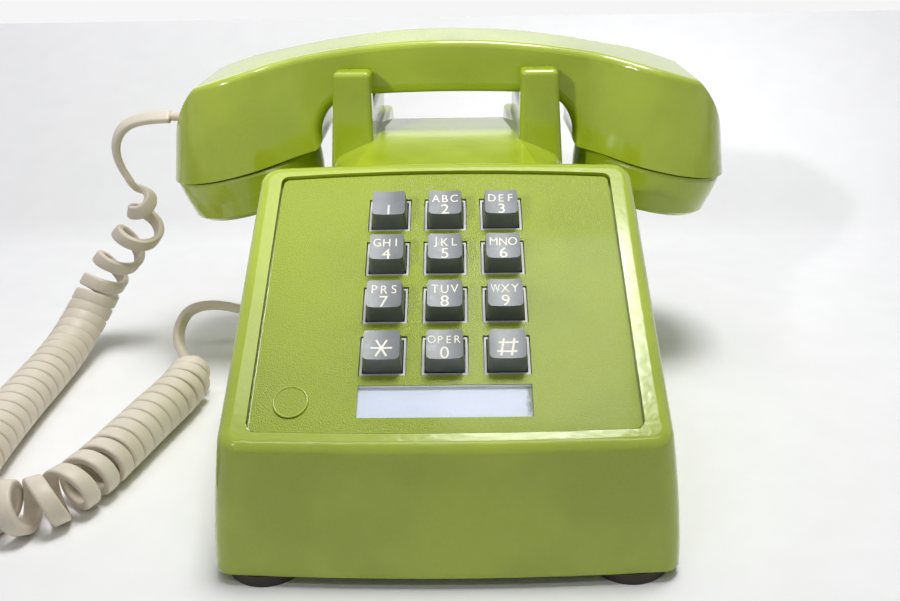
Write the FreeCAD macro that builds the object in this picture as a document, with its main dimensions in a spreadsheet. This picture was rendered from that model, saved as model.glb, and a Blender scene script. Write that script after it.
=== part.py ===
import FreeCAD, Part
import math
import os
import re
import Sketcher
from FreeCAD import Placement, Rotation, Vector

# Corded push-button desk telephone, in millimetres.
# X runs to the right, Y to the back, Z up; the feet stand on Z = 0 and the keys face the front.

sizes = {
    # housing
    "housingFloor": 4.0,
    "housingWall": 2.6,
    "faceWall": 4.6,
    "baseHalfWidth": 71.6,
    "baseFront": -105.6,
    "baseBow": 2.4,
    "baseCorner": 6.0,
    "waistHalfWidth": 70.0,
    "waistCorner": 7.0,
    "waistFront": -104.9,
    "waistRise": 0.45,
    "rimHalfWidth": 66.0,
    "rimBottom": -59.6,
    "rimTop": 52.6,
    "rimCorner": 7.0,
    "rimBowBottom": 1.0,
    "rimBowTop": 1.6,
    "rimRound": 4.6,
    "rimProud": 1.2,
    "rearY": 108.0,
    "rearCorner": 26.0,
    "crownZ": 108.6,
    "shoulderX": 45.0,
    "shoulderZ": 96.5,
    "shelfFrontY": -5.5,
    "shelfFrontZ": 102.2,
    "ridgeY": 54.0,
    "ridgeZ": 105.6,
    "saddleRearY": 88.0,
    "saddleRearZ": 104.0,
    # cradle ears
    "earInner": 28.6,
    "earTopOuter": 42.8,
    "earBaseOuter": 46.0,
    "earFront": 25.0,
    "earRear": 85.0,
    "postDepth": 9.4,
    "postTop": 130.4,
    "saddleZ": 115.4,
    "earRootZ": 88.0,
    "postRound": 2.0,
    "shoulderRound": 6.0,
    "ridgeSoft": 2.0,
    # carrying recess behind the shelf ridge
    "recessHalfWidth": 25.5,
    "recessFloorZ": 74.0,
    "recessFrontY": 57.0,
    # face plate, its own plane tipped by faceSlope about the keypad centre
    "faceSlope": 29.38,
    "keypadY": -50.7,
    "keypadZ": 77.2,
    "plateHalfWidth": 57.4,
    "plateTop": 45.6,
    "plateBottom": -54.2,
    "plateBowTop": 2.0,
    "plateBowBottom": 1.0,
    "plateCorner": 2.2,
    "plateThick": 2.0,
    "plateGap": 0.7,
    "plateLedge": 3.2,
    "wellWidth": 14.64,
    "wellHeight": 14.34,
    "keyPitch": 19.05,
    "cardLength": 52.4,
    "cardHeight": 11.0,
    "cardV": -44.5,
    "cardDepth": 1.7,
    "cardThick": 0.25,
    "windowThick": 1.25,
    "windowSlack": 0.15,
    "discX": -45.9,
    "discV": -44.6,
    "discRadius": 5.2,
    "discRise": 0.35,
    # keys and their frame
    "keyWidth": 12.0,
    "keyDepth": 11.6,
    "keyTopWidth": 11.0,
    "keyTopDepth": 10.3,
    "keyRise": 6.8,
    "keySkirt": 5.2,
    "keySlack": 0.3,
    "keyFlange": 13.6,
    "keyFlangeThick": 1.2,
    "keyStem": 4.0,
    "keyStemLength": 2.0,
    "keyRound": 1.3,
    "dishRadius": 34.0,
    "dishDepth": 0.55,
    "collarTop": 0.5,
    "collarSlack": 0.35,
    "frameTop": 2.3,
    "frameUnder": 5.0,
    "frameHalfWidth": 42.0,
    "frameHalfHeight": 38.0,
    "boardTop": 12.4,
    "boardThick": 1.6,
    "boardHalfWidth": 35.0,
    "boardHalfHeight": 37.0,
    "toneCoilRadius": 9.0,
    "toneCoilHeight": 7.5,
    "toneCoilX": 17.0,
    "standoffRadius": 2.4,
    "standoffX": 32.4,
    "standoffV": 35.4,
    "bracketX": 38.6,
    "bracketThick": 1.4,
    "bracketWidth": 12.0,
    "bracketY": -58.0,
    "bracketFoot": 9.0,
    # base pan and feet
    "panUnder": 5.0,
    "panThick": 1.2,
    "panHalfWidth": 67.4,
    "panFront": -100.6,
    "panRear": 103.6,
    "panCorner": 22.0,
    "footFrontX": 56.8,
    "footFrontY": -93.6,
    "footRearX": 52.0,
    "footRearY": 83.0,
    "footRadius": 13.2,
    "footNeck": 8.4,
    "footHeight": 3.7,
    "footStem": 3.2,
    "footHead": 4.6,
    "footHoleSlack": 0.1,
    "screwX": 60.6,
    "screwFrontY": -56.0,
    "screwRearY": 66.0,
    "screwShaft": 1.5,
    "screwHead": 3.4,
    "screwHeadHeight": 1.8,
    "screwReach": 11.0,
    "bossRadius": 4.6,
    "bossTop": 34.0,
    # network block
    "networkX": -25.0,
    "networkY": -20.0,
    "networkLength": 50.0,
    "networkWidth": 46.0,
    "networkHeight": 27.0,
    "terminalRadius": 2.6,
    "terminalHeight": 3.0,
    "terminalPitch": 10.0,
    # ringer
    "gongX": 30.5,
    "gongY": 68.0,
    "gongLarge": 25.0,
    "gongSmall": 24.2,
    "gongFloor": 24.0,
    "gongHeight": 13.0,
    "gongWall": 1.4,
    "gongPost": 3.0,
    "gongHole": 3.2,
    "gongCap": 4.6,
    "gongCapHeight": 2.0,
    "ringerHalf": 27.0,
    "ringerFront": 17.0,
    "ringerRear": 43.0,
    "ringerThick": 2.0,
    "ringerWing": 34.0,
    "coilRadius": 12.0,
    "coilHalf": 22.0,
    "coilY": 29.0,
    "coilZ": 23.0,
    "coreRadius": 5.0,
    "clapperY": 47.0,
    "clapperZ": 29.0,
    "clapperArm": 1.6,
    "clapperHub": 3.4,
    "clapperPin": 1.5,
    "clapperSlack": 0.06,
    "clapperReach": 17.0,
    "clapperBall": 3.0,
    "wheelX": 47.0,
    "wheelY": 22.0,
    "wheelZ": 13.4,
    "wheelRadius": 10.6,
    "wheelThick": 3.6,
    "wheelBore": 1.56,
    "wheelPin": 1.5,
    "wheelSlot": 1.2,
    # hook switch
    "hookY": 8.0,
    "hookHalf": 28.0,
    "hookTop": 79.0,
    "hookThick": 1.6,
    "pivotY": 17.0,
    "pivotZ": 82.0,
    "pivotPin": 1.5,
    "pivotSlack": 0.06,
    "leverX": 35.4,
    "leverWidth": 4.0,
    "leverThick": 3.0,
    "leverReach": 42.0,
    "leverHub": 3.6,
    "tailLength": 20.0,
    "pileZ": 46.0,
    "pileHeight": 12.0,
    "pileWidth": 24.0,
    "pileDepth": 10.0,
    "plungerX": 35.6,
    "plungerY": 55.0,
    "plungerWidth": 6.2,
    "plungerDepth": 12.0,
    "plungerSlack": 0.35,
    "plungerFlange": 1.0,
    "plungerFlangeThick": 2.0,
    "plungerFoot": 86.0,
    "plungerTop": 118.1,
    # jacks and plugs
    "lineJackX": 0.0,
    "lineJackFront": 86.0,
    "lineJackBack": 103.6,
    "lineJackZ": 14.4,
    "lineJackWidth": 16.0,
    "lineJackHeight": 13.6,
    "socketWidth": 10.2,
    "socketHeight": 7.4,
    "socketDepth": 13.0,
    "sideJackY": 41.0,
    "sideJackZ": 23.0,
    "sideJackOuter": -64.0,
    "sideJackInner": -51.4,
    "sideJackWidth": 13.0,
    "sideJackHeight": 12.0,
    "plugWidth": 7.6,
    "plugHeight": 5.6,
    "plugLength": 11.4,
    "plugNeck": 3.6,
    "plugNeckEnd": 5.4,
    "cordDiameter": 3.6,
    # handset
    "handsetY": 55.0,
    "handleTop": 140.0,
    "handleUnder": 119.0,
    "handleUnderRise": 0.8,
    "handleTopRadius": 310.0,
    "handleCornerX": 98.5,
    "handleEndX": 116.2,
    "handleEndZ": 86.0,
    "handleEndMidX": 110.4,
    "handleEndMidZ": 107.7,
    "archStart": 35.0,
    "archEnd": 50.0,
    "barLow": 20.2,
    "barHigh": 18.0,
    "cupLow": 34.74,
    "cupHigh": 23.3,
    "cupX": 83.9,
    "blendRadius": 38.0,
    "loftLow": 70.0,
    "loftHigh": 146.0,
    "ridgeRound": 2.6,
    "underRound": 4.0,
    "seamX": 85.3,
    "seamZ": 90.2,
    "seamTilt": 13.2,
    "seamGap": 0.9,
    "cavityRadius": 27.5,
    "cavityDepth": 13.0,
    "cavityStep": 6.0,
    "boreRadius": 24.4,
    "capRim": 31.1,
    "capFace": 28.0,
    "capDepth": 18.0,
    "capDome": 1.4,
    "capWall": 2.2,
    "spigotRadius": 27.2,
    "spigotHeight": 5.0,
    "capsuleRadius": 23.6,
    "capsuleBottom": 12.6,
    "capsuleTop": 4.0,
    "contactCupRadius": 24.0,
    "contactCupTop": 12.6,
    "contactCupFloor": 5.6,
    "mouthHole": 1.5,
    "ringOne": 8.0,
    "ringTwo": 15.5,
    "earHole": 1.2,
    "endJackInner": -95.0,
    "endJackOuter": -109.4,
    "endJackWidth": 11.6,
    "endJackHeight": 9.6,
    "endPlugNeckEnd": -116.4,
    # curly cord, measured along its centre line from the handset
    "curlRadius": 7.6,
    "curlPitch": 6.2,
    "loosePitch": 17.0,
    "looseEnd": 88.0,
    "looseRamp": 30.0,
    "bendAt": 262.0,
    "bendSpan": 46.0,
    "bendPitch": 5.0,
    "tailUpper": 44.0,
    "tailLower": 67.0,
    "rampLength": 26.0,
}

# centre line of the curly cord, from the handset's end to the left side of the housing
cordRoute = [
    (-116.7, 55.0, 107.7),
    (-127.5, 55.0, 107.7),
    (-138.0, 55.0, 104.0),
    (-143.0, 55.0, 94.5),
    (-141.0, 55.0, 84.0),
    (-135.5, 55.0, 76.0),
    (-132.5, 55.5, 67.0),
    (-137.0, 56.0, 57.0),
    (-148.0, 57.0, 46.0),
    (-158.5, 56.0, 33.0),
    (-166.0, 48.0, 19.0),
    (-170.0, 30.0, 10.5),
    (-170.5, 7.0, 10.0),
    (-171.3, -16.0, 10.0),
    (-170.6, -39.0, 10.0),
    (-165.5, -62.0, 10.0),
    (-152.0, -79.0, 10.0),
    (-137.0, -80.0, 10.0),
    (-127.0, -66.0, 10.0),
    (-119.5, -44.0, 10.0),
    (-114.5, -24.0, 10.0),
    (-109.0, -5.0, 10.0),
    (-108.5, 10.0, 10.0),
    (-114.5, 22.0, 9.8),
    (-120.5, 31.5, 11.0),
    (-121.5, 38.0, 17.0),
    (-116.5, 42.0, 24.5),
    (-104.0, 42.0, 26.5),
    (-90.0, 41.0, 23.0),
    (-74.4, 41.0, 23.0),
]

doc = FreeCAD.newDocument("desk_telephone")
sheet = doc.addObject("Spreadsheet::Sheet", "Dimensions")
for row, (name, value) in enumerate(sizes.items(), 1):
    sheet.set(f"A{row}", name)
    sheet.set(f"B{row}", str(value))
    sheet.setAlias(f"B{row}", name)
doc.recompute()

nodes = {}


def cell(text):
    return re.sub(
        r"[A-Za-z]\w*",
        lambda m: "Dimensions." + m.group(0) if m.group(0) in sizes else m.group(0),
        text,
    )


def size(text):
    return float(sheet.evalExpression(cell(text)))


def bind(obj, **expressions):
    for prop, text in expressions.items():
        obj.setExpression(prop.replace("_", "."), cell(text))


def place(obj, at=("0", "0", "0"), axis=(0, 0, 1), angle="0"):
    obj.Placement = Placement(Vector(), Rotation(Vector(*axis), size(angle)))
    for letter, text in zip("xyz", at):
        obj.setExpression(f"Placement.Base.{letter}", cell(text))
    return obj


def keep(name, obj):
    obj.Label = name
    nodes[name] = obj
    return obj


# Part primitives and booleans


def box(name, spans, at=("0", "0", "0")):
    obj = doc.addObject("Part::Box", name)
    bind(obj, Length=spans[0], Width=spans[1], Height=spans[2])
    return place(obj, at)


def rod(name, radius, height, at=("0", "0", "0"), along="z"):
    obj = doc.addObject("Part::Cylinder", name)
    bind(obj, Radius=radius, Height=height)
    axis, angle = {"z": ((0, 0, 1), "0"), "x": ((0, 1, 0), "90"), "y": ((1, 0, 0), "-90")}[along]
    return place(obj, at, axis, angle)


def fuse(name, parts):
    obj = doc.addObject("Part::MultiFuse", name)
    obj.Shapes = parts
    return obj


def cut(name, base, tools):
    obj = doc.addObject("Part::Cut", name)
    obj.Base = base
    obj.Tool = tools[0] if len(tools) == 1 else fuse(name + "_tools", tools)
    return obj


def group(name, parts):
    obj = doc.addObject("Part::Compound", name)
    obj.Links = parts
    return obj


def shaped(name, shape):
    obj = doc.addObject("Part::Feature", name)
    obj.Shape = shape
    return keep(name, obj)


# PartDesign bodies


def newBody(name):
    return doc.addObject("PartDesign::Body", name)


def sketch(body, name, plane="XY_Plane", lift="0"):
    item = body.newObject("Sketcher::SketchObject", name)
    item.AttachmentSupport = [(next(f for f in body.Origin.OriginFeatures if f.Role == plane), "")]
    item.MapMode = "FlatFace"
    item.setExpression("AttachmentOffset.Base.z", cell(lift))
    return item


def fix(item, kind, refs, text):
    index = item.addConstraint(Sketcher.Constraint(kind, *refs, size(text)))
    item.setExpression(f"Constraints[{index}]", cell(text))


def pin(item, geo, end, x, y):
    for text, kind, axis in ((x, "DistanceX", -2), (y, "DistanceY", -1)):
        if abs(size(text)) < 1e-9:
            item.addConstraint(Sketcher.Constraint("PointOnObject", geo, end, axis))
        else:
            fix(item, kind, (-1, 1, geo, end), text)


def rectangle(item, width, height, x="0", y="0"):
    w, h, cx, cy = size(width) / 2, size(height) / 2, size(x), size(y)
    corners = [Vector(cx + i * w, cy + j * h, 0) for i, j in ((-1, -1), (1, -1), (1, 1), (-1, 1))]
    first = item.GeometryCount
    for i in range(4):
        item.addGeometry(Part.LineSegment(corners[i], corners[(i + 1) % 4]))
    for i in range(4):
        item.addConstraint(Sketcher.Constraint("Coincident", first + i, 2, first + (i + 1) % 4, 1))
    for i in range(4):
        item.addConstraint(Sketcher.Constraint("Horizontal" if i % 2 == 0 else "Vertical", first + i))
    fix(item, "DistanceX", (first, 1, first, 2), width)
    fix(item, "DistanceY", (first + 1, 1, first + 1, 2), height)
    fix(item, "DistanceX", (-1, 1, first, 1), f"{x} - ({width})/2")
    fix(item, "DistanceY", (-1, 1, first, 1), f"{y} - ({height})/2")


def circle(item, radius, x="0", y="0"):
    geo = item.addGeometry(Part.Circle(Vector(size(x), size(y), 0), Vector(0, 0, 1), size(radius)))
    fix(item, "Radius", (geo,), radius)
    pin(item, geo, 3, x, y)


def polygon(item, points):
    spots = [Vector(size(x), size(y), 0) for x, y in points]
    count = len(points)
    for i in range(count):
        item.addGeometry(Part.LineSegment(spots[i], spots[(i + 1) % count]))
    for i in range(count):
        item.addConstraint(Sketcher.Constraint("Coincident", i, 2, (i + 1) % count, 1))
    for i, (x, y) in enumerate(points):
        pin(item, i, 1, x, y)


def panel(item, half, front, rear, corner, bowFront, bowRear):
    edges = outlineEdges(size(half), size(front), size(rear), size(corner), size(bowFront), size(bowRear))
    for edge in edges:
        geo = item.addGeometry(edge)
        for end in (1, 2):
            point = item.getPoint(geo, end)
            item.addConstraint(Sketcher.Constraint("DistanceX", -1, 1, geo, end, point.x))
            item.addConstraint(Sketcher.Constraint("DistanceY", -1, 1, geo, end, point.y))


def feature(body, kind, name, profile, **expressions):
    item = body.newObject("PartDesign::" + kind, name)
    item.Profile = profile
    bind(item, **expressions)
    return item


def pad(body, name, profile, length, down=False):
    item = feature(body, "Pad", name, profile, Length=length)
    item.Reversed = down
    return item


def pocket(body, name, profile, length, up=False):
    item = feature(body, "Pocket", name, profile, Length=length)
    item.Reversed = up
    return item


def turned(body, name, profile):
    item = feature(body, "Revolution", name, profile)
    item.ReferenceAxis = (profile, ["V_Axis"])
    item.Angle = 360.0
    return item


# shared outlines


def outlineEdges(half, front, rear, corner, bowFront, bowRear):
    k = corner * (1 - math.sqrt(0.5))
    a = [
        Vector(-half, front + corner),
        Vector(-half, rear - corner),
        Vector(-half + corner, rear),
        Vector(half - corner, rear),
        Vector(half, rear - corner),
        Vector(half, front + corner),
        Vector(half - corner, front),
        Vector(-half + corner, front),
    ]
    return [
        Part.LineSegment(a[0], a[1]),
        Part.Arc(a[1], Vector(-half + k, rear - k), a[2]),
        Part.Arc(a[2], Vector(0, rear + bowRear), a[3]),
        Part.Arc(a[3], Vector(half - k, rear - k), a[4]),
        Part.LineSegment(a[4], a[5]),
        Part.Arc(a[5], Vector(half - k, front + k), a[6]),
        Part.Arc(a[6], Vector(0, front - bowFront), a[7]),
        Part.Arc(a[7], Vector(-half + k, front + k), a[0]),
    ]


def outline(half, front, rear, corner, bowFront, bowRear, placement, inset=0.0):
    edges = outlineEdges(half - inset, front + inset, rear - inset, corner - inset, bowFront, bowRear)
    wire = Part.Wire([edge.toShape() for edge in edges])
    wire.Placement = placement
    return wire


def tipped(y, z, degrees):
    return Placement(Vector(0, y, z), Rotation(Vector(1, 0, 0), degrees))


def facePlacement(rise=0.0):
    slope = math.radians(size("faceSlope"))
    return tipped(
        size("keypadY") - rise * math.sin(slope),
        size("keypadZ") + rise * math.cos(slope),
        size("faceSlope"),
    )


def slab(points, axis, low, high):
    wire = Part.makePolygon(points + [points[0]])
    solid = Part.Face(wire).extrude(axis * (high - low))
    solid.translate(axis * low)
    return solid


def centred(x, y, z, dx, dy, dz):
    return Part.makeBox(dx, dy, dz, Vector(x - dx / 2, y - dy / 2, z - dz / 2))


# housing shell with its cradle


def frontForm(inset, faceInset):
    floor = size("housingFloor")
    lowest = floor - (1.0 if inset else 0.0)
    slope = math.tan(math.radians(size("faceSlope")))
    face = outline(
        size("rimHalfWidth"), size("rimBottom"), size("rimTop"), size("rimCorner"),
        size("rimBowBottom"), size("rimBowTop"), facePlacement(size("rimProud") - faceInset), inset,
    )
    rise = size("waistRise")
    tip = math.atan(rise * slope)
    hingeY = size("keypadY")
    hingeZ = floor + rise * (size("keypadZ") + size("rimProud") - floor) - 0.3 * inset
    waist = outline(
        size("waistHalfWidth"), (size("waistFront") - hingeY) / math.cos(tip),
        (22.0 - hingeY) / math.cos(tip), size("waistCorner"), 2.0, 0.5,
        tipped(hingeY, hingeZ, math.degrees(tip)), inset,
    )
    base = outline(
        size("baseHalfWidth"), size("baseFront"), 46.0, size("baseCorner"),
        size("baseBow"), 0.5, tipped(0, lowest, 0), inset,
    )
    return Part.makeLoft([face, waist, base], True, False)


def rearForm(inset):
    lowest = size("housingFloor") - (1.0 if inset else 0.0)
    half = size("baseHalfWidth") - 0.1
    flank = [
        Vector(size("shoulderX") - inset, 0, size("shoulderZ") - 0.8 * inset),
        Vector(48.6 - inset, 0, 80 - 0.3 * inset),
        Vector(58.2 - inset, 0, 60 - 0.3 * inset),
        Vector(67.8 - inset, 0, 36),
        Vector(half - inset, 0, 12),
    ]
    mirrored = [Vector(-p.x, 0, p.z) for p in flank]
    right, left = Part.BSplineCurve(), Part.BSplineCurve()
    right.interpolate(flank)
    left.interpolate(mirrored)
    footRight = Vector(half - inset, 0, lowest)
    footLeft = Vector(inset - half, 0, lowest)
    section = Part.Wire([
        Part.Arc(mirrored[0], Vector(0, 0, size("crownZ") - inset), flank[0]).toShape(),
        right.toShape(),
        Part.LineSegment(flank[-1], footRight).toShape(),
        Part.LineSegment(footRight, footLeft).toShape(),
        Part.LineSegment(footLeft, mirrored[-1]).toShape(),
        left.toShape(),
    ])
    bell = Part.Face(section).extrude(Vector(0, 150, 0))
    bell.translate(Vector(0, -30 + inset, 0))
    rear = size("rearY")
    side = [
        Vector(0, -30 + inset, lowest),
        Vector(0, -30 + inset, 78),
        Vector(0, size("shelfFrontY") + 0.4 * inset, size("shelfFrontZ") - inset),
        Vector(0, size("ridgeY"), size("ridgeZ") - inset),
        Vector(0, size("saddleRearY") - 0.5 * inset, size("saddleRearZ") - inset),
        Vector(0, 104 - inset, 72),
        Vector(0, rear - inset, lowest),
    ]
    edges = [Part.LineSegment(side[i], side[i + 1]) for i in range(4)]
    edges.append(Part.Arc(side[4], Vector(0, 99.2 - inset, 91 - 0.6 * inset), side[5]))
    edges.append(Part.LineSegment(side[5], side[6]))
    edges.append(Part.LineSegment(side[6], side[0]))
    profile = Part.Face(Part.Wire([edge.toShape() for edge in edges])).extrude(Vector(160, 0, 0))
    profile.translate(Vector(-80, 0, 0))
    plan = outline(half, -40, rear, size("rearCorner"), 0.5, 0.0001, Placement(), inset)
    return bell.common(profile).common(Part.Face(plan).extrude(Vector(0, 0, 130)))


def earForm(inset):
    root, top, saddle = size("earRootZ"), size("postTop"), size("saddleZ")
    front, rear, depth = size("earFront"), size("earRear"), size("postDepth")
    inner, outerTop, outerBase = size("earInner"), size("earTopOuter"), size("earBaseOuter")
    cross = slab(
        [Vector(inner + inset, 0, root), Vector(outerBase - inset, 0, root),
         Vector(outerBase - inset, 0, 91), Vector(outerTop - inset, 0, top), Vector(inner + inset, 0, top)],
        Vector(0, 1, 0), front + inset, rear - inset,
    )
    if inset:
        return cross.common(centred(36, 55, (root + saddle - inset) / 2, 40, 90, saddle - inset - root))
    middle = (front + rear) / 2
    notch = centred(36, middle, (saddle + top + 4) / 2, 40, rear - front - 2 * depth, top + 4 - saddle)
    ear = cross.cut(notch)

    def rounded(edge):
        b = edge.BoundBox
        level = b.ZMax - b.ZMin < 1e-6
        upright = b.ZMax - b.ZMin > 5 and (b.YMax < front + 0.01 or b.YMin > rear - 0.01)
        return upright or b.ZMin > saddle - 0.1 and (b.ZMax > saddle + 3 or level)

    return ear.makeFillet(size("postRound"), [edge for edge in ear.Edges if rounded(edge)])


def recessForm(grow):
    half = size("recessHalfWidth") + grow
    floor = size("recessFloorZ") - grow
    front = size("recessFrontY") - grow
    lip = Vector(-half, front, 98)
    bend = Vector(-half, front + 6.2, floor + 8)
    foot = Vector(-half, front + 20, floor)
    edges = [
        Part.LineSegment(Vector(-half, front - 1.0, 140), lip),
        Part.Arc(lip, bend, foot),
        Part.LineSegment(foot, Vector(-half, 125, floor - 4)),
        Part.LineSegment(Vector(-half, 125, floor - 4), Vector(-half, 125, 140)),
        Part.LineSegment(Vector(-half, 125, 140), Vector(-half, front - 1.0, 140)),
    ]
    wire = Part.Wire([edge.toShape() for edge in edges])
    return Part.Face(wire).extrude(Vector(2 * half, 0, 0))


def mirrorX(shape):
    return shape.mirror(Vector(), Vector(1, 0, 0))


def makeHousing():
    wall = size("housingWall")
    front = frontForm(0.0, 0.0)
    normal = facePlacement().Rotation.multVec(Vector(0, 0, 1))
    origin = facePlacement(size("rimProud")).Base
    rim = [e for e in front.Edges if all(abs((v.Point - origin).dot(normal)) < 0.01 for v in e.Vertexes)]
    front = front.makeFillet(size("rimRound"), rim)
    rear = rearForm(0.0)
    shoulder = size("shoulderZ")

    def onShoulder(edge):
        b = edge.BoundBox
        return abs(b.ZMin - shoulder) < 0.05 and abs(b.ZMax - shoulder) < 0.05 and b.YMax - b.YMin > 20

    rear = rear.makeFillet(size("shoulderRound"), [e for e in rear.Edges if onShoulder(e)])
    ear = earForm(0.0)
    outer = front.fuse([rear, ear, mirrorX(ear)]).cut(recessForm(0.0)).removeSplitter()
    half = size("recessHalfWidth")

    def onRidge(edge):
        b = edge.BoundBox
        high = b.ZMin > size("saddleRearZ") - 0.1 and b.ZMax < size("ridgeZ") + 0.1 and b.YMin > 56
        across = b.YMax < size("recessFrontY") + 0.1
        along = abs(abs(b.XMin) - half) < 0.05 and abs(abs(b.XMax) - half) < 0.05
        return high and (across or along)

    outer = outer.makeFillet(size("ridgeSoft"), [e for e in outer.Edges if onRidge(e)])
    hollow = earForm(wall)
    inner = frontForm(wall, size("faceWall")).fuse([rearForm(wall), hollow, mirrorX(hollow)])
    inner = inner.cut(recessForm(wall))
    shell = outer.cut(inner)
    gap, ledge = size("plateGap"), size("plateLedge")
    seat = outline(
        size("plateHalfWidth") + gap, size("plateBottom") - gap, size("plateTop") + gap,
        size("plateCorner") + gap, size("plateBowBottom"), size("plateBowTop"),
        facePlacement(-size("plateThick")),
    )
    hole = outline(
        size("plateHalfWidth") - ledge, size("plateBottom") + ledge, size("plateTop") - ledge,
        size("plateCorner"), size("plateBowBottom"), size("plateBowTop"), facePlacement(-12.0),
    )
    cuts = [Part.Face(seat).extrude(normal * 10), Part.Face(hole).extrude(normal * 20)]
    slack = size("plungerSlack")
    for side in (-1, 1):
        cuts.append(centred(
            side * size("plungerX"), size("plungerY"), size("saddleZ"),
            size("plungerWidth") + 2 * slack, size("plungerDepth") + 2 * slack, 16,
        ))
    cuts.append(centred(
        size("lineJackX"), size("rearY"), size("lineJackZ"),
        size("socketWidth") + 2.4, 14, size("socketHeight") + 2.4,
    ))
    cuts.append(centred(
        -68, size("sideJackY"), size("sideJackZ"), 14, size("plugWidth") + 3.4, size("plugHeight") + 3.4,
    ))
    shell = shell.cut(cuts)
    bosses = []
    core = frontForm(wall / 2, wall / 2).fuse(rearForm(wall / 2))
    panTop = size("panUnder + panThick")
    for side in (-1, 1):
        for y in (size("screwFrontY"), size("screwRearY")):
            x = side * size("screwX")
            height = size("bossTop") - panTop - 0.2
            post = Part.makeCylinder(size("bossRadius"), height, Vector(x, y, panTop + 0.2))
            web = centred(x + side * 4.5, y, panTop + 0.2 + height / 2, 9.0, 3.0, height)
            pilot = Part.makeCylinder(size("screwShaft") + 0.15, 14, Vector(x, y, panTop))
            bosses.append(post.fuse(web).cut(pilot).common(core))
    shaped("housing", shell.fuse(bosses).removeSplitter())


# face plate and keypad, drawn flat and tipped onto the slope


def tipOntoFace(obj):
    place(obj, ("0", "keypadY", "keypadZ"), (1, 0, 0), "faceSlope")
    return obj


wellSpots = [(f"{c}*keyPitch", f"{r}*keyPitch/2") for r in (3, 1, -1, -3) for c in (-1, 0, 1)]
keyNames = ["1", "2", "3", "4", "5", "6", "7", "8", "9", "star", "0", "hash"]


def makeFaceplate():
    body = newBody("faceplate")
    flat = sketch(body, "plate_outline", lift="-plateThick")
    panel(flat, "plateHalfWidth", "plateBottom", "plateTop", "plateCorner", "plateBowBottom", "plateBowTop")
    pad(body, "plate_sheet", flat, "plateThick")
    disc = sketch(body, "disc_outline")
    circle(disc, "discRadius", "discX", "discV")
    pad(body, "plain_disc", disc, "discRise")
    wells = sketch(body, "well_outlines")
    for x, v in wellSpots:
        rectangle(wells, "wellWidth", "wellHeight", x, v)
    pocket(body, "key_wells", wells, "plateThick")
    card = sketch(body, "card_outline")
    rectangle(card, "cardLength", "cardHeight", "0", "cardV")
    pocket(body, "card_pocket", card, "cardDepth")
    keep("faceplate", tipOntoFace(body))
    for name, low, thick in (
        ("number_card", "-cardDepth", "cardThick"),
        ("card_window", "0.05 - cardDepth + cardThick", "windowThick"),
    ):
        body = newBody(name)
        flat = sketch(body, name + "_outline", lift=low)
        rectangle(flat, "cardLength - 2*windowSlack", "cardHeight - 2*windowSlack", "0", "cardV")
        pad(body, name + "_sheet", flat, thick)
        keep(name, tipOntoFace(body))


def makeKeypad():
    body = newBody("keypad_frame")
    flat = sketch(body, "frame_outline", lift="-frameUnder")
    rectangle(flat, "2*frameHalfWidth", "2*frameHalfHeight")
    pad(body, "frame_sheet", flat, "frameUnder - frameTop")
    collars = sketch(body, "collar_outlines", lift="-frameTop")
    for x, v in wellSpots:
        rectangle(collars, "wellWidth - 2*collarSlack", "wellHeight - 2*collarSlack", x, v)
    pad(body, "collars", collars, "frameTop - collarTop")
    holes = sketch(body, "key_holes", lift="-collarTop")
    for x, v in wellSpots:
        rectangle(holes, "keyWidth + 2*keySlack", "keyDepth + 2*keySlack", x, v)
    pocket(body, "key_openings", holes, "frameUnder")
    posts = sketch(body, "standoffs", lift="-frameUnder")
    for i in (-1, 1):
        for j in (-1, 1):
            circle(posts, "standoffRadius", f"{i}*standoffX", f"{j}*standoffV")
    pad(body, "standoff_posts", posts, "boardTop - frameUnder", down=True)
    keep("keypad_frame", tipOntoFace(body))
    body = newBody("keypad_board")
    flat = sketch(body, "board_outline", lift="-boardTop")
    rectangle(flat, "2*boardHalfWidth", "2*boardHalfHeight")
    pad(body, "board_sheet", flat, "boardThick", down=True)
    keep("keypad_board", tipOntoFace(body))
    coilFloor = "-boardTop - boardThick - toneCoilHeight"
    coils = [
        rod(f"tone_coil_{i}", "toneCoilRadius", "toneCoilHeight", (x, "0", coilFloor))
        for i, x in enumerate(("-toneCoilX", "toneCoilX"))
    ]
    keep("tone_coils", tipOntoFace(fuse("tone_coils", coils)))


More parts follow.
